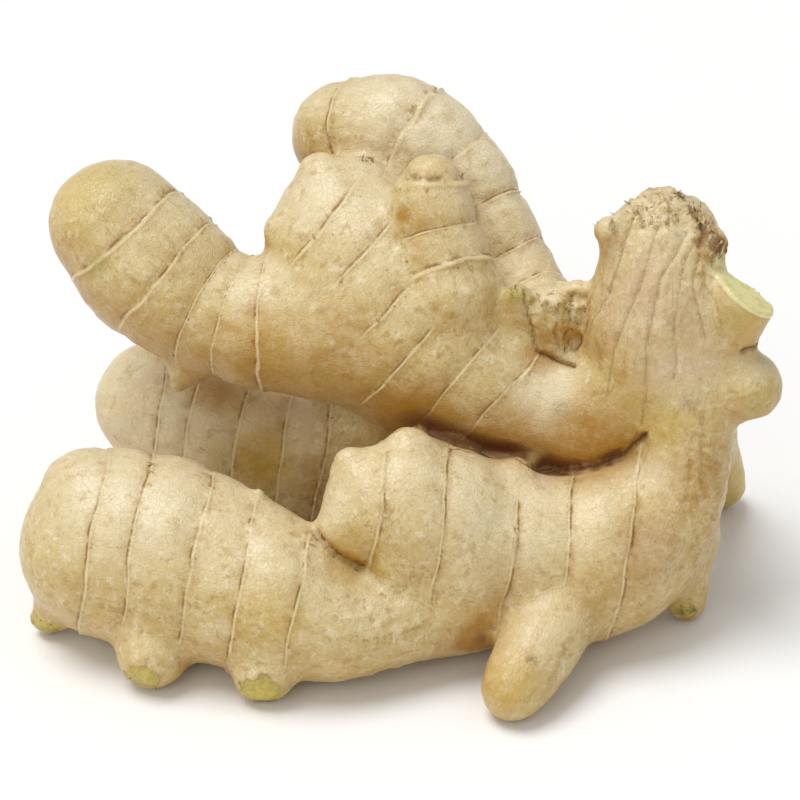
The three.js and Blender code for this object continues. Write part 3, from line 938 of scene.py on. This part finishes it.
@dataclass(frozen=True)
class GingerSkin:
    """The papery straw-coloured skin of fresh ginger, with its rings, stained patches, fresh buds, painted
    highlights and painted shade.
    """

    cut_at: tuple[float, float, float]
    cut_facing: tuple[float, float, float]
    # white: painted highlight, for the sheen spots, the skin that faces up and the whiter patches
    white: tuple = tone(238, 224, 190)
    pale: tuple = tone(220, 199, 144)
    straw: tuple = tone(202, 172, 102)
    deep: tuple = tone(166, 126, 52)
    crest: tuple = tone(232, 213, 160)
    # brown lines, torn rims and crumbs, and painted shadow in the ring furrows and in the creases
    shadow_line: tuple = tone(140, 102, 44)
    speck: tuple = tone(138, 102, 48)
    # amber: the ring stains and amber stains, and the warm painted shade on undersides and in creases
    amber: tuple = tone(176, 124, 32)
    # crevice: painted shade deep in the creases and in the darkest grooves
    crevice: tuple = tone(104, 50, 6)
    yellow: tuple = tone(206, 176, 76)
    green: tuple = tone(170, 160, 70)
    pink: tuple = tone(204, 172, 150)
    brown: tuple = tone(104, 62, 26)
    fresh: tuple = tone(210, 188, 76)
    flesh: tuple = tone(230, 220, 146)
    rind: tuple = tone(236, 226, 184)
    bump_strength: float = 0.9
    bump_height: float = 0.0005
    cells_per_mm: float = 0.62
    specks_per_mm: float = 0.5

    def make(self) -> bpy.types.Material:
        """Builds the material.

        Returns:
            The material.
        """
        bench = Bench("ginger_skin")
        cues = SkinCues(bench)
        colour = self._dry_skin(bench, cues)
        for layer in (self._stains, self._rings, self._crumbs, self._buds, self._creases, self._cut_face):
            colour = layer(bench, cues, colour)
        bench.finish(
            {
                "Base Color": colour,
                "Roughness": self._roughness(cues),
                "Normal": self._relief(bench, cues),
                "IOR": 1.45,
                "Coat Weight": 0.25,
                "Coat Roughness": 0.28,
                "Subsurface Weight": 0.1,
                "Subsurface Radius": (0.0042, 0.0021, 0.0008),
                "Subsurface Scale": 1.0,
            }
        )
        return bench.material

    def _dry_skin(self, bench: Bench, cues: SkinCues) -> Flow:
        """The skin's own colour of fibres, flakes and tan patches, with painted sheen spots, painted light on
        the skin that faces up and warm painted shade on the skin that faces down.
        """
        papery, flake, facing = cues.papery, cues.flake, cues.facing
        tan = cues.mottle.fade(0.3, 0.7) * 0.5 + papery.fade(0.44, 0.58) * 0.5
        colour = bench.blend(tan, self.pale, self.straw)
        colour = bench.blend(cues.fibre.fade(0.53, 0.66) * 0.5, colour, self.deep)
        # painted sheen: small white spots
        colour = bench.blend(flake.fade(0.56, 0.63) * 0.5, colour, self.white)
        colour = bench.blend(papery.fade(0.42, 0.33) * 0.45, colour, self.deep)
        colour = bench.blend(flake.fade(0.41, 0.34) * 0.3, colour, self.deep)
        rumpled = bench.trait(Tint.RUMPLED.value) * flake.fade(0.48, 0.36)
        colour = bench.blend(rumpled * 0.6, colour, self.deep)
        # painted light: the skin that faces up is whitened
        painted_top_light = facing.fade(0.2, 0.95) * (papery.fade(0.36, 0.6) * 0.35 + 0.2)
        colour = bench.blend(painted_top_light, colour, self.white)
        # painted shade: the skin that faces down turns amber, more so higher up
        under_shade_weight = bench.trait("height").fade(18, 42) * 0.3 + 0.26
        return bench.blend(facing.fade(0.5, -0.5) * under_shade_weight, colour, self.amber)

    def _stains(self, bench: Bench, cues: SkinCues, colour: Flow) -> Flow:
        """The stained patches, and the patches of painted highlight and painted shade, broken up like the
        papery skin.
        """
        patchy = cues.papery.fade(0.28, 0.62) * 0.7 + 0.4
        # stained patches, with painted highlight in the white ones and painted shade in part of the amber
        # ones
        patch_tones = {Tint.WHITE: self.white, Tint.PINK: self.pink, Tint.YELLOW: self.yellow}
        patch_tones |= {Tint.GREEN: self.green, Tint.AMBER: self.amber}
        for tint, stain in patch_tones.items():
            colour = bench.blend(bench.trait(tint.value) * patchy, colour, stain)
        return colour

    def _rings(self, bench: Bench, cues: SkinCues, colour: Flow) -> Flow:
        """Round every ring a stain, a dark line on its tip side that is partly painted shadow in the furrow,
        a pale crest that is partly a painted highlight, specks and nubs.
        """
        wobble = cues.ring + (cues.flake - 0.5) * 0.45
        on_side = cues.hold * (bench.trait("tipward") * 0.8 + 0.2)
        stain = wobble.fade(2.6, 0.4) * on_side * (cues.broken * 0.3 + 0.1)
        colour = bench.blend(stain, colour, self.amber)
        # the dark line: a brown mark, and partly painted shadow in the furrow on the tip side
        line = wobble.fade(0.16, 0.34) * wobble.fade(0.9, 0.5) * on_side
        colour = bench.blend(line * (cues.broken * 0.75 + 0.12), colour, self.shadow_line)
        # the pale crest: the ring's own pale skin, and partly a painted highlight on the raised ring
        crest_and_highlight = wobble.fade(0.36, 0.08) * cues.hold * (cues.mottle.fade(0.36, 0.6) * 0.5 + 0.3)
        colour = bench.blend(crest_and_highlight, colour, self.crest)
        near_ring = cues.ring.fade(3.5, 0.6) * cues.hold * 0.6 + 0.2
        dots = bench.node("ShaderNodeTexVoronoi", {}, {"Vector": cues.place, "Scale": self.specks_per_mm})
        specks = dots.fade(0.2, 0.08) * cues.spread.fade(0.52, 0.62)
        colour = bench.blend(specks * near_ring, colour, self.speck)
        return bench.blend(bench.trait("nub") * 0.5, colour, self.deep)

    def _crumbs(self, bench: Bench, cues: SkinCues, colour: Flow) -> Flow:
        """The crown's brown and dark crumbs."""
        colour = bench.blend(cues.crown * cues.scab.fade(0.50, 0.64) * 0.6, colour, self.shadow_line)
        return bench.blend(cues.crown * cues.scab.fade(0.38, 0.28) * 0.5, colour, self.brown)

    def _buds(self, bench: Bench, cues: SkinCues, colour: Flow) -> Flow:
        """The fresh tips inside a torn brown rim, and the brown scabs."""
        torn = bench.trait("bud") + (cues.flake - 0.5) * 0.9
        rim = torn.fade(0.22, 0.40) * torn.fade(0.66, 0.48) * cues.broken
        colour = bench.blend(rim * 0.6, colour, self.shadow_line)
        inner = bench.blend(cues.flake.fade(0.40, 0.62), self.fresh, self.green)
        colour = bench.blend(torn.fade(0.45, 0.68) * 0.8, colour, inner)
        scabbed = bench.trait(Tint.BROWN.value) * cues.scab.fade(0.40, 0.52)
        return bench.blend(scabbed * 0.9, colour, self.brown)

    def _creases(self, bench: Bench, cues: SkinCues, colour: Flow) -> Flow:
        """Painted shade: warm amber between the limbs, dark brown deep in the creases, and the grooves' dark
        lines, which are painted shade in the creases between limbs.
        """
        shade, facing, split = cues.shade, cues.facing, cues.split
        # warm painted shade where the limbs close in, most on the skin that faces down
        warm = shade.fade(0.24, 0.62) * (facing.fade(0.35, -0.4) * 0.8 + 0.1)
        colour = bench.blend(warm, colour, self.amber)
        # the grooves' dark lines: real dark lines, and painted shade where a groove lies in a crease between
        # limbs
        colour = bench.blend(split.fade(0.08, 0.5) * 0.6, colour, self.shadow_line)
        colour = bench.blend(split.fade(0.55, 0.9) * 0.9, colour, self.crevice)
        # dark painted shade deepest between the limbs
        dark = shade.fade(0.72, 0.95) * (facing.fade(-0.8, 0.0) * 0.45 + 0.45)
        return bench.blend(dark, colour, self.crevice)

    def _cut_face(self, bench: Bench, cues: SkinCues, colour: Flow) -> Flow:
        """The moist cut face in its pale rind."""
        from_middle = bench.shift("SUBTRACT", cues.place, self.cut_at)
        above = bench.shift("DOT_PRODUCT", from_middle, self.cut_facing, "Value")
        cut = bench.trait("cut")
        flesh = bench.blend(cues.flake.fade(0.50, 0.64) * 0.4, self.flesh, self.green)
        colour = bench.blend(cut * above.fade(-1.3, -0.8) * 0.85, colour, self.rind)
        return bench.blend(cut * above.fade(-0.5, -0.3), colour, flesh)

    @staticmethod
    def _roughness(cues: SkinCues) -> Flow:
        """How dull the skin is; it has no sheen inside the creases and splits."""
        skin = cues.fibre * 0.16 + cues.papery * 0.34 + cues.flake * 0.2 + 0.02
        return skin + cues.shade.fade(0.4, 0.8) * 0.45 + cues.split * 0.4

    def _relief(self, bench: Bench, cues: SkinCues) -> Flow:
        """The finest wrinkles, flakes and cells."""
        leaning = bench.shift("ADD", cues.place, bench.shift("MULTIPLY", cues.offset, (0.3, 0.3, 0.3)))
        sockets = {"Vector": leaning, "Scale": self.cells_per_mm}
        cells = bench.node("ShaderNodeTexVoronoi", {"feature": "DISTANCE_TO_EDGE"}, sockets)
        height = cues.fibre * 0.42 + cues.flake * 0.7 + cues.crown * cues.scab * 1.1
        height = height + cues.papery * 0.5 + cells.fade(0.0, 0.1) * 0.14
        sockets = {"Strength": self.bump_strength, "Distance": self.bump_height, "Height": height}
        return bench.node("ShaderNodeBump", {}, sockets)


@dataclass(frozen=True)
class LooseSkin:
    """Dry, papery skin that has come loose, and the fine dry hairs."""

    name: str
    pale: tuple
    dark: tuple

    def make(self) -> bpy.types.Material:
        """Builds the material.

        Returns:
            The material.
        """
        bench = Bench(self.name)
        patchy = bench.cloud(bench.place(), 2.6, 4.0, 0.6)
        colour = bench.blend(patchy.fade(0.38, 0.64), self.pale, self.dark)
        bench.finish({"Base Color": colour, "Roughness": patchy * 0.3 + 0.35, "Subsurface Weight": 0.1})
        return bench.material


@dataclass(frozen=True)
class Fineness:
    """How near to a mark, in millimetres, the faces are split."""

    ring: float = 1.0
    ring_hold: float = 0.2
    bud_rim: float = 1.2
    groove: float = 1.4


@dataclass(frozen=True)
class Relief:
    """The skin's small forms, in millimetres or as shares of a mark's own size or depth."""

    patch_edge: tuple[float, float] = (1.25, 0.25)
    fold_height: float = 0.45
    fold_ridge: tuple[float, float] = (0.16, 0.0)
    fold_depth: float = 0.3
    fold_hollow: tuple[float, float] = (0.2, 0.5)
    bud_wobble: float = 0.3
    bud_edge: tuple[float, float] = (1.25, 0.75)
    bud_step: tuple[float, float] = (1.06, 0.92)
    bud_rim: float = 0.25
    bud_rim_at: float = 1.12
    bud_rim_width: float = 0.09
    crown_wobble: float = 2.0
    crack_depth: float = 0.8
    crack_width: tuple[float, float] = (0.12, 0.0)
    groove_step: float = 1.5
    groove_wobble: float = 0.15
    groove_edge: tuple[float, float] = (1.5, 0.3)
    groove_lip: float = 0.3
    groove_lip_at: float = 2.0
    highest_lip: float = 0.12
    nub_by_ring: tuple[float, float] = (0.8, 2.4)
    nub_size: tuple[float, float] = (0.55, 1.0)
    nub_height: tuple[float, float] = (0.2, 0.6)
    nub_dark: tuple[float, float] = (0.3, 1.0)
    dimple: float = 0.7
    dimple_width: float = 0.45


@dataclass
class GingerHand:
    """The whole root: the CAD solid's skin made fine and marked."""

    growth: Growth
    studio: Studio
    voxel: float = 1.1 * MM
    fine: Fineness = Fineness()
    crown_middle: tuple[float, float, float] = (56.0, 14.0, 92.0)
    crown_reach: float = 10.0
    crown_core: float = 0.3
    crown_squash: tuple[float, float, float] = (0.75, 0.75, 1.0)
    cut_at: tuple[float, float, float] = (74.0, 0.0, 78.0)
    cut_facing: tuple[float, float, float] = (0.5195, 0.02, 0.8542)
    cut_reach: float = 10.5
    cut_depth: float = 3.0
    cut_edge: tuple[float, float] = (11.5, 9.5)
    relief: Relief = Relief()
    nubs: int = 240
    settling_steps: int = 4
    longest_step: float = 1.5
    least_slope: float = 0.25
    close_in: float = 0.58
    relax_steps: int = 12
    feelers: tuple[tuple[float, float], ...] = ((3.0, 0.3), (8.0, 0.4), (15.0, 0.3))
    root_depth: float = 0.15 * MM
    sway: float = 0.5
    lift_range: tuple[float, float] = (0.5, 1.4)
    piece: bpy.types.Object | None = None
    tree: BVHTree | None = None

    def build(self, node: bpy.types.Object) -> None:
        """Makes the fine skin from the CAD solid.

        Args:
            node: the CAD solid's object, which stays as it is.
        """
        self.piece = self._even_copy(node)
        self.tree = self._tree(self.piece.data)
        points = self._points()
        self._refine(self.growth.read(points), points)
        points = self._points()
        marks = self._marks(points)
        points, reading = self._settle(points, marks)
        self._write(points, reading, marks)
        log.info("ginger_hand: %d faces", len(self.piece.data.polygons))

    def _even_copy(self, node: bpy.types.Object) -> bpy.types.Object:
        """Copies the solid's mesh, merges it and gives it even faces."""
        mesh = node.data.copy()
        mesh.name = "ginger_hand"
        mesh.materials.clear()
        soup = bmesh.new()
        soup.from_mesh(mesh)
        bmesh.ops.remove_doubles(soup, verts=soup.verts, dist=SAME_PLACE)
        soup.to_mesh(mesh)
        soup.free()
        piece = bpy.data.objects.new("ginger_hand", mesh)
        bpy.context.scene.collection.objects.link(piece)
        remesh = piece.modifiers.new("even_faces", "REMESH")
        remesh.mode, remesh.voxel_size = "VOXEL", self.voxel
        ready = piece.evaluated_get(bpy.context.evaluated_depsgraph_get())
        piece.data = bpy.data.meshes.new_from_object(ready)
        piece.modifiers.clear()
        bpy.data.meshes.remove(mesh)
        piece.data.name = "ginger_hand"
        return piece

    @staticmethod
    def _tree(mesh: bpy.types.Mesh) -> BVHTree:
        """A search tree of a mesh's faces."""
        shape = bmesh.new()
        shape.from_mesh(mesh)
        tree = BVHTree.FromBMesh(shape)
        shape.free()
        return tree

    def _points(self) -> np.ndarray:
        """The mesh's vertices in the growth's own millimetres."""
        flat = np.zeros(len(self.piece.data.vertices) * 3)
        self.piece.data.vertices.foreach_get("co", flat)
        return flat.reshape(-1, 3) / MM + FOOTPRINT_MIDDLE

    def seen(self, pixel: tuple[float, float]) -> np.ndarray:
        """The place on the root that a pixel sees, or just misses, in the growth's millimetres."""
        eye, ray = self.studio.eye, self.studio.ray(pixel)
        hit = self.tree.ray_cast(eye, ray)[0]
        if hit is None:
            hit = self.tree.find_nearest(eye + ray * self.studio.distance)[0]
        return np.array(hit) / MM + FOOTPRINT_MIDDLE

    def _refine(self, reading: Reading, points: np.ndarray) -> None:
        """Splits the faces along the rings and grooves, round the torn buds and at the cut."""
        busy = (np.abs(reading.ring) < self.fine.ring) & (reading.hold > self.fine.ring_hold)
        for tip in BUD_TIPS:
            busy |= np.abs(distance(points, self.seen(tip.pixel)) - tip.radius) < self.fine.bud_rim
        for groove in GROOVES:
            busy |= self._from_groove(points, groove) < self.fine.groove
        busy |= distance(points, self.cut_at) < self.cut_reach
        shape = bmesh.new()
        shape.from_mesh(self.piece.data)
        shape.verts.ensure_lookup_table()
        edges = [e for e in shape.edges if busy[e.verts[0].index] and busy[e.verts[1].index]]
        bmesh.ops.subdivide_edges(shape, edges=edges, cuts=1, use_grid_fill=True)
        shape.to_mesh(self.piece.data)
        shape.free()

    def _from_groove(self, points: np.ndarray, groove: Groove) -> np.ndarray:
        """The distance of each place from a groove's line."""
        pixels = np.array(groove.pixels, float)
        turns = np.concatenate([[0], np.cumsum(np.linalg.norm(np.diff(pixels, axis=0), axis=1))])
        steps = np.arange(0, turns[-1] + self.relief.groove_step, self.relief.groove_step)
        line = np.stack([np.interp(steps, turns, pixels[:, n]) for n in (0, 1)], axis=1)
        away = np.full(len(points), FAR)
        for pixel in line.tolist():
            away = np.minimum(away, distance(points, self.seen(tuple(pixel))))
        return away

    def _marks(self, points: np.ndarray) -> dict[str, np.ndarray]:
        """Works out each mark's share at every vertex, and the fixed part of the relief."""
        names = [tint.value for tint in Tint] + ["bud", "crown", "groove", "nub"]
        marks = {name: np.zeros(len(points)) for name in names}
        marks["relief"] = SKIN_SWELLS.at(points) + SKIN_PORES.at(points)
        ripple = EDGE_RIPPLE.at(points)
        self._add_patches(points, marks)
        self._add_buds(points, marks, ripple)
        self._add_crown(points, marks, ripple)
        self._add_grooves(points, marks, ripple)
        self._add_nubs(points, marks)
        return marks

    def _add_patches(self, points: np.ndarray, marks: dict[str, np.ndarray]) -> None:
        """Marks the stained patches and folds the rumpled ones."""
        form = self.relief
        for tint, patches in PATCHES.items():
            for patch in patches:
                away = distance(points, self.seen(patch.pixel))
                outer, inner = (patch.radius * share for share in form.patch_edge)
                share = patch.strength * fade(away, outer, inner)
                marks[tint.value] = np.maximum(marks[tint.value], share)
        folds = np.abs(FOLDS.at(points))
        ridges, hollows = fade(folds, *form.fold_ridge), fade(folds, *form.fold_hollow)
        marks["relief"] += marks[Tint.RUMPLED.value] * (form.fold_height * ridges - form.fold_depth * hollows)

    def _add_buds(self, points: np.ndarray, marks: dict[str, np.ndarray], ripple: np.ndarray) -> None:
        """Tears the skin back from the fresh tips, with a curled rim."""
        form = self.relief
        for tip in BUD_TIPS:
            away = distance(points, self.seen(tip.pixel)) / tip.radius + form.bud_wobble * ripple
            marks["bud"] = np.maximum(marks["bud"], tip.strength * fade(away, *form.bud_edge))
            marks["relief"] -= tip.depth * fade(away, *form.bud_step)
            marks["relief"] += form.bud_rim * tip.depth * hill(away - form.bud_rim_at, form.bud_rim_width)

    def _add_crown(self, points: np.ndarray, marks: dict[str, np.ndarray], ripple: np.ndarray) -> None:
        """Crumbles the crown into lumps and cracks."""
        squash = np.array(self.crown_squash)
        away = distance(points * squash, squash * self.crown_middle) + self.relief.crown_wobble * ripple
        marks["crown"] = fade(away, self.crown_reach, self.crown_core * self.crown_reach)
        cracks = fade(np.abs(CROWN_CRACKS.at(points)), *self.relief.crack_width)
        marks["relief"] += marks["crown"] * (CROWN_LUMPS.at(points) - self.relief.crack_depth * cracks)

    def _add_grooves(self, points: np.ndarray, marks: dict[str, np.ndarray], ripple: np.ndarray) -> None:
        """Cuts the grooves, each with a low lip beside it."""
        form = self.relief
        for groove in GROOVES:
            away = self._from_groove(points, groove) * (1 + form.groove_wobble * ripple) / groove.width
            lip = min(form.groove_lip * groove.depth, form.highest_lip)
            marks["relief"] -= groove.depth * hill(away)
            marks["relief"] += lip * hill(away - form.groove_lip_at)
            marks["groove"] = np.maximum(marks["groove"], groove.dark * fade(away, *form.groove_edge))

    def _add_nubs(self, points: np.ndarray, marks: dict[str, np.ndarray]) -> None:
        """Raises small root nubs, most of them beside a ring."""
        form, dice = self.relief, np.random.default_rng(41)
        ring = np.abs(self.growth.read(points).ring)
        low, high = form.nub_by_ring
        beside = np.where((ring > low) & (ring < high))[0]
        sites = np.concatenate([dice.choice(beside, self.nubs), dice.choice(len(points), self.nubs // 2)])
        for site in sites:
            size, height = dice.uniform(*form.nub_size), dice.uniform(*form.nub_height)
            away = distance(points, points[site]) / size
            bump = hill(away)
            pit = hill(away, form.dimple_width) * dice.choice([0.0, form.dimple])
            marks["relief"] += height * (bump - pit)
            np.maximum(marks["nub"], bump * dice.uniform(*form.nub_dark), out=marks["nub"])

    def _settle(self, points: np.ndarray, marks: dict[str, np.ndarray]) -> tuple[np.ndarray, Reading]:
        """Moves every vertex onto the marked skin, the table's flat spots and the cut."""
        facing, down = np.array(self.cut_facing), [0.0, 0.0, -1.0]
        for _ in range(self.settling_steps):
            reading = self.growth.read(points)
            depth, out = reading.depth + marks["crown"] * reading.stand - marks["relief"], reading.out.copy()
            rel = points - np.array(self.cut_at)
            above = rel @ facing
            about = np.linalg.norm(rel - above[:, None] * facing, axis=1)
            slant = above + CUT_RIPPLE.at(points)
            cut = (about < self.cut_reach) & (slant > depth) & (above > -self.cut_depth)
            depth, out = np.where(cut, slant, depth), np.where(cut[:, None], facing, out)
            flat = -points[:, 2] > depth
            depth, out = np.where(flat, -points[:, 2], depth), np.where(flat[:, None], down, out)
            slope = np.einsum("pi,pi->p", out, out).clip(self.least_slope)
            step = np.clip(depth, -self.longest_step, self.longest_step) / slope
            points = points - step[:, None] * out
        marks["cut"] = fade(distance(points, self.cut_at), *self.cut_edge)
        return points, reading

    def _write(self, points: np.ndarray, reading: Reading, marks: dict[str, np.ndarray]) -> None:
        """Puts the vertices and the attributes into the mesh."""
        mesh = self.piece.data
        mesh.vertices.foreach_set("co", ((points - FOOTPRINT_MIDDLE) * MM).ravel())
        mesh.update()
        self._relax(self._hidden(points) > self.close_in)
        points = self._points()
        hidden = self._hidden(points) * (1 - 0.6 * marks["cut"])
        values = {"ring": reading.ring, "ring_hold": reading.hold * (1 - marks["crown"])}
        values |= {"skin_along": reading.along, "shade": hidden, "tipward": reading.tipward}
        values |= {"facing": self._normals()[:, 2], "height": points[:, 2]}
        values |= {name: value for name, value in marks.items() if name != "relief"}
        for name, value in values.items():
            mesh.attributes.new(name, "FLOAT", "POINT").data.foreach_set("value", value.astype(np.float32))
        lean = mesh.attributes.new("skin_offset", "FLOAT_VECTOR", "POINT")
        lean.data.foreach_set("vector", reading.offset.astype(np.float32).ravel())
        mesh.shade_smooth()

    def _normals(self) -> np.ndarray:
        """The way that the skin faces at every vertex."""
        flat = np.zeros(len(self.piece.data.vertices) * 3)
        self.piece.data.vertices.foreach_get("normal", flat)
        return flat.reshape(-1, 3)

    def _hidden(self, points: np.ndarray) -> np.ndarray:
        """How far every vertex is closed in by other limbs, from 0 to 1."""
        hidden, normals = np.zeros(len(points)), self._normals()
        for reach, weight in self.feelers:
            room = self.growth.read(points + normals * reach).depth / reach
            hidden += weight * np.clip(1 - room, 0, 1)
        return hidden

    def _relax(self, chosen: np.ndarray) -> None:
        """Evens out the skin deep between the limbs."""
        shape = bmesh.new()
        shape.from_mesh(self.piece.data)
        verts = [vert for vert in shape.verts if chosen[vert.index]]
        every_way = {"use_axis_x": True, "use_axis_y": True, "use_axis_z": True}
        for _ in range(self.relax_steps):
            bmesh.ops.smooth_vert(shape, verts=verts, factor=0.5, **every_way)
        shape.to_mesh(self.piece.data)
        shape.free()
        self.piece.data.update()

    def spots(self, bits: Shreds, dice: np.random.Generator) -> np.ndarray:
        """Picks the vertices that a group of loose bits stands on.

        Args:
            bits: the group.
            dice: the source of chance.

        Returns:
            The vertices' numbers.
        """
        near = np.where(distance(self._points(), self.seen(bits.pixel)) < bits.reach)[0]
        return dice.choice(near, bits.count)

    def stance(self, vertex: int, lift: float, dice: np.random.Generator, rise: bool) -> Matrix:
        """Where and how a loose bit is rooted in the skin.

        Args:
            vertex: the vertex that it stands on.
            lift: how steeply it leaves the skin, in degrees.
            dice: the source of chance.
            rise: whether it points up along the skin, or any way.

        Returns:
            The bit's own frame, with y along it and z off the skin.
        """
        skin = self.piece.data.vertices[vertex]
        normal = skin.normal.copy()
        way = Vector((0, 0, 1)) if rise else Vector(dice.normal(size=3).tolist())
        way = way + self.sway * Vector(dice.normal(size=3).tolist())
        way = (way - way.dot(normal) * normal).normalized()
        frame = Matrix((way.cross(normal), way, normal)).transposed().to_4x4()
        turn = Matrix.Rotation(math.radians(lift * dice.uniform(*self.lift_range)), 4, "X")
        return Matrix.Translation(skin.co - normal * self.root_depth) @ frame @ turn

    def dress(self) -> None:
        """Gives the root its skin and its place in the frame."""
        middle = tuple((np.array(self.cut_at) - FOOTPRINT_MIDDLE).tolist())
        self.piece.data.materials.append(GingerSkin(middle, self.cut_facing).make())
        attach(self.piece, "root")
        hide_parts("ginger_root")


@dataclass
class LooseShreds:
    """Papery shreds of skin on the crown, on the stubs and along the rings."""

    hand: GingerHand
    by_rings: int = 150
    on_ring: float = 0.5
    clear_ring: float = 0.6
    ring_lift: float = 12
    ring_length: float = 1.1
    thickness: float = 0.07 * MM
    lengths: tuple[float, float] = (0.5, 1.5)
    widths: tuple[float, float] = (0.3, 0.7)
    curls: tuple[float, float] = (-0.5, 0.6)
    twists: float = 0.4
    narrowing: float = 0.6
    torn_side: float = 0.08
    torn_end: float = 0.12
    cupping: float = 0.3
    piece: bpy.types.Object | None = None

    def build(self) -> None:
        """Cuts every shred and roots it in the skin."""
        dice = np.random.default_rng(17)
        shape = bmesh.new()
        for group in SHREDS:
            for vertex in self.hand.spots(group, dice):
                self._cut(shape, self.hand.stance(vertex, group.lift, dice, True), group.length, dice)
        ring, hold = self._read("ring"), self._read("ring_hold")
        along_rings = np.where((np.abs(ring) < self.on_ring) & (hold > self.clear_ring))[0]
        for vertex in dice.choice(along_rings, self.by_rings):
            self._cut(shape, self.hand.stance(vertex, self.ring_lift, dice, False), self.ring_length, dice)
        bmesh.ops.solidify(shape, geom=shape.faces[:], thickness=self.thickness)
        bmesh.ops.recalc_face_normals(shape, faces=shape.faces[:])
        self.piece = piece_of(shape, "loose_shreds")

    def _read(self, name: str) -> np.ndarray:
        """Reads an attribute of the root's skin."""
        values = np.zeros(len(self.hand.piece.data.vertices))
        self.hand.piece.data.attributes[name].data.foreach_get("value", values)
        return values

    def _cut(self, shape: bmesh.types.BMesh, stance: Matrix, mean: float, dice: np.random.Generator) -> None:
        """Cuts one shred: a strip that narrows, curls and has a torn end."""
        long = mean * dice.uniform(*self.lengths) * MM
        wide, curl = long * dice.uniform(*self.widths), dice.uniform(*self.curls)
        twist = dice.normal() * self.twists
        verts = bmesh.ops.create_grid(shape, x_segments=2, y_segments=3, size=0.5)["verts"]
        for vert in verts:
            across, along = vert.co.x, vert.co.y + 0.5
            across = across * (1 - self.narrowing * along**1.5) + self.torn_side * dice.normal()
            ragged = along + self.torn_end * along * dice.normal()
            rise = curl * along**2 + twist * across * along + self.cupping * across**2
            vert.co = (across * wide, ragged * long, rise * long)
        bmesh.ops.transform(shape, matrix=stance, verts=verts)

    def dress(self) -> None:
        """Gives the shreds their dry skin and their place in the frame."""
        skin = LooseSkin("loose_skin", pale=tone(218, 194, 144), dark=tone(172, 134, 80))
        self.piece.data.materials.append(skin.make())
        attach(self.piece, "root")


@dataclass
class RootHairs:
    """Short dry hairs on the crown, the stubs and the buds."""

    hand: GingerHand
    thick: float = 0.13 * MM
    sides: int = 5
    joints: int = 4
    taper: float = 0.7
    thicknesses: tuple[float, float] = (0.7, 1.3)
    bending: float = 0.25
    steps: tuple[float, float] = (0.6, 1.3)
    piece: bpy.types.Object | None = None

    def build(self) -> None:
        """Grows every hair out of the skin."""
        dice = np.random.default_rng(23)
        shape = bmesh.new()
        for group in HAIRS:
            for vertex in self.hand.spots(group, dice):
                self._grow(shape, self.hand.stance(vertex, group.lift, dice, True), group.length, dice)
        bmesh.ops.recalc_face_normals(shape, faces=shape.faces[:])
        self.piece = piece_of(shape, "root_hairs")

    def _grow(self, shape: bmesh.types.BMesh, stance: Matrix, long: float, dice: np.random.Generator) -> None:
        """Grows one hair, a thin tube that bends and ends in a point."""
        foot = stance @ Matrix.Rotation(-math.pi / 2, 4, "X")
        radius = self.thick * dice.uniform(*self.thicknesses)
        ring = bmesh.ops.create_circle(shape, cap_ends=True, radius=radius, segments=self.sides, matrix=foot)
        tip = ring["verts"][0].link_faces[0]
        way = (stance.to_3x3() @ Vector((0, 1, 0))).normalized()
        bend = Vector(dice.normal(size=3).tolist()) * self.bending
        for _ in range(self.joints):
            grown = bmesh.ops.extrude_face_region(shape, geom=[tip])["geom"]
            tip = next(part for part in grown if isinstance(part, bmesh.types.BMFace))
            way = (way + bend).normalized()
            step = way * long * MM * dice.uniform(*self.steps) / self.joints
            bmesh.ops.translate(shape, verts=tip.verts[:], vec=step)
            middle = Matrix.Translation(-tip.calc_center_median())
            bmesh.ops.scale(shape, verts=tip.verts[:], vec=(self.taper,) * 3, space=middle)

    def dress(self) -> None:
        """Gives the hairs their dry brown and their place in the frame."""
        brown = LooseSkin("dry_hair", pale=tone(150, 112, 60), dark=tone(98, 66, 32))
        self.piece.data.materials.append(brown.make())
        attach(self.piece, "root")


def piece_of(shape: bmesh.types.BMesh, name: str) -> bpy.types.Object:
    """Turns a finished shape into a smooth object of the scene.

    Args:
        shape: the shape, which is used up.
        name: the object's name.

    Returns:
        The object.
    """
    mesh = bpy.data.meshes.new(name)
    shape.to_mesh(mesh)
    shape.free()
    mesh.shade_smooth()
    piece = bpy.data.objects.new(name, mesh)
    bpy.context.scene.collection.objects.link(piece)
    log.info("%s: %d faces", name, len(mesh.polygons))
    return piece


def main() -> None:
    """Builds the root and its studio."""
    logging.basicConfig(level=logging.INFO, format="%(message)s")
    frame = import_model()
    studio = Studio()
    studio.build_camera()
    hand = GingerHand(Growth(), studio)
    hand.build(frame["nodes"]["ginger_root"])
    hand.dress()
    for bits in (LooseShreds(hand), RootHairs(hand)):
        bits.build()
        bits.dress()
    studio.build()


if __name__ == "__main__":
    main()
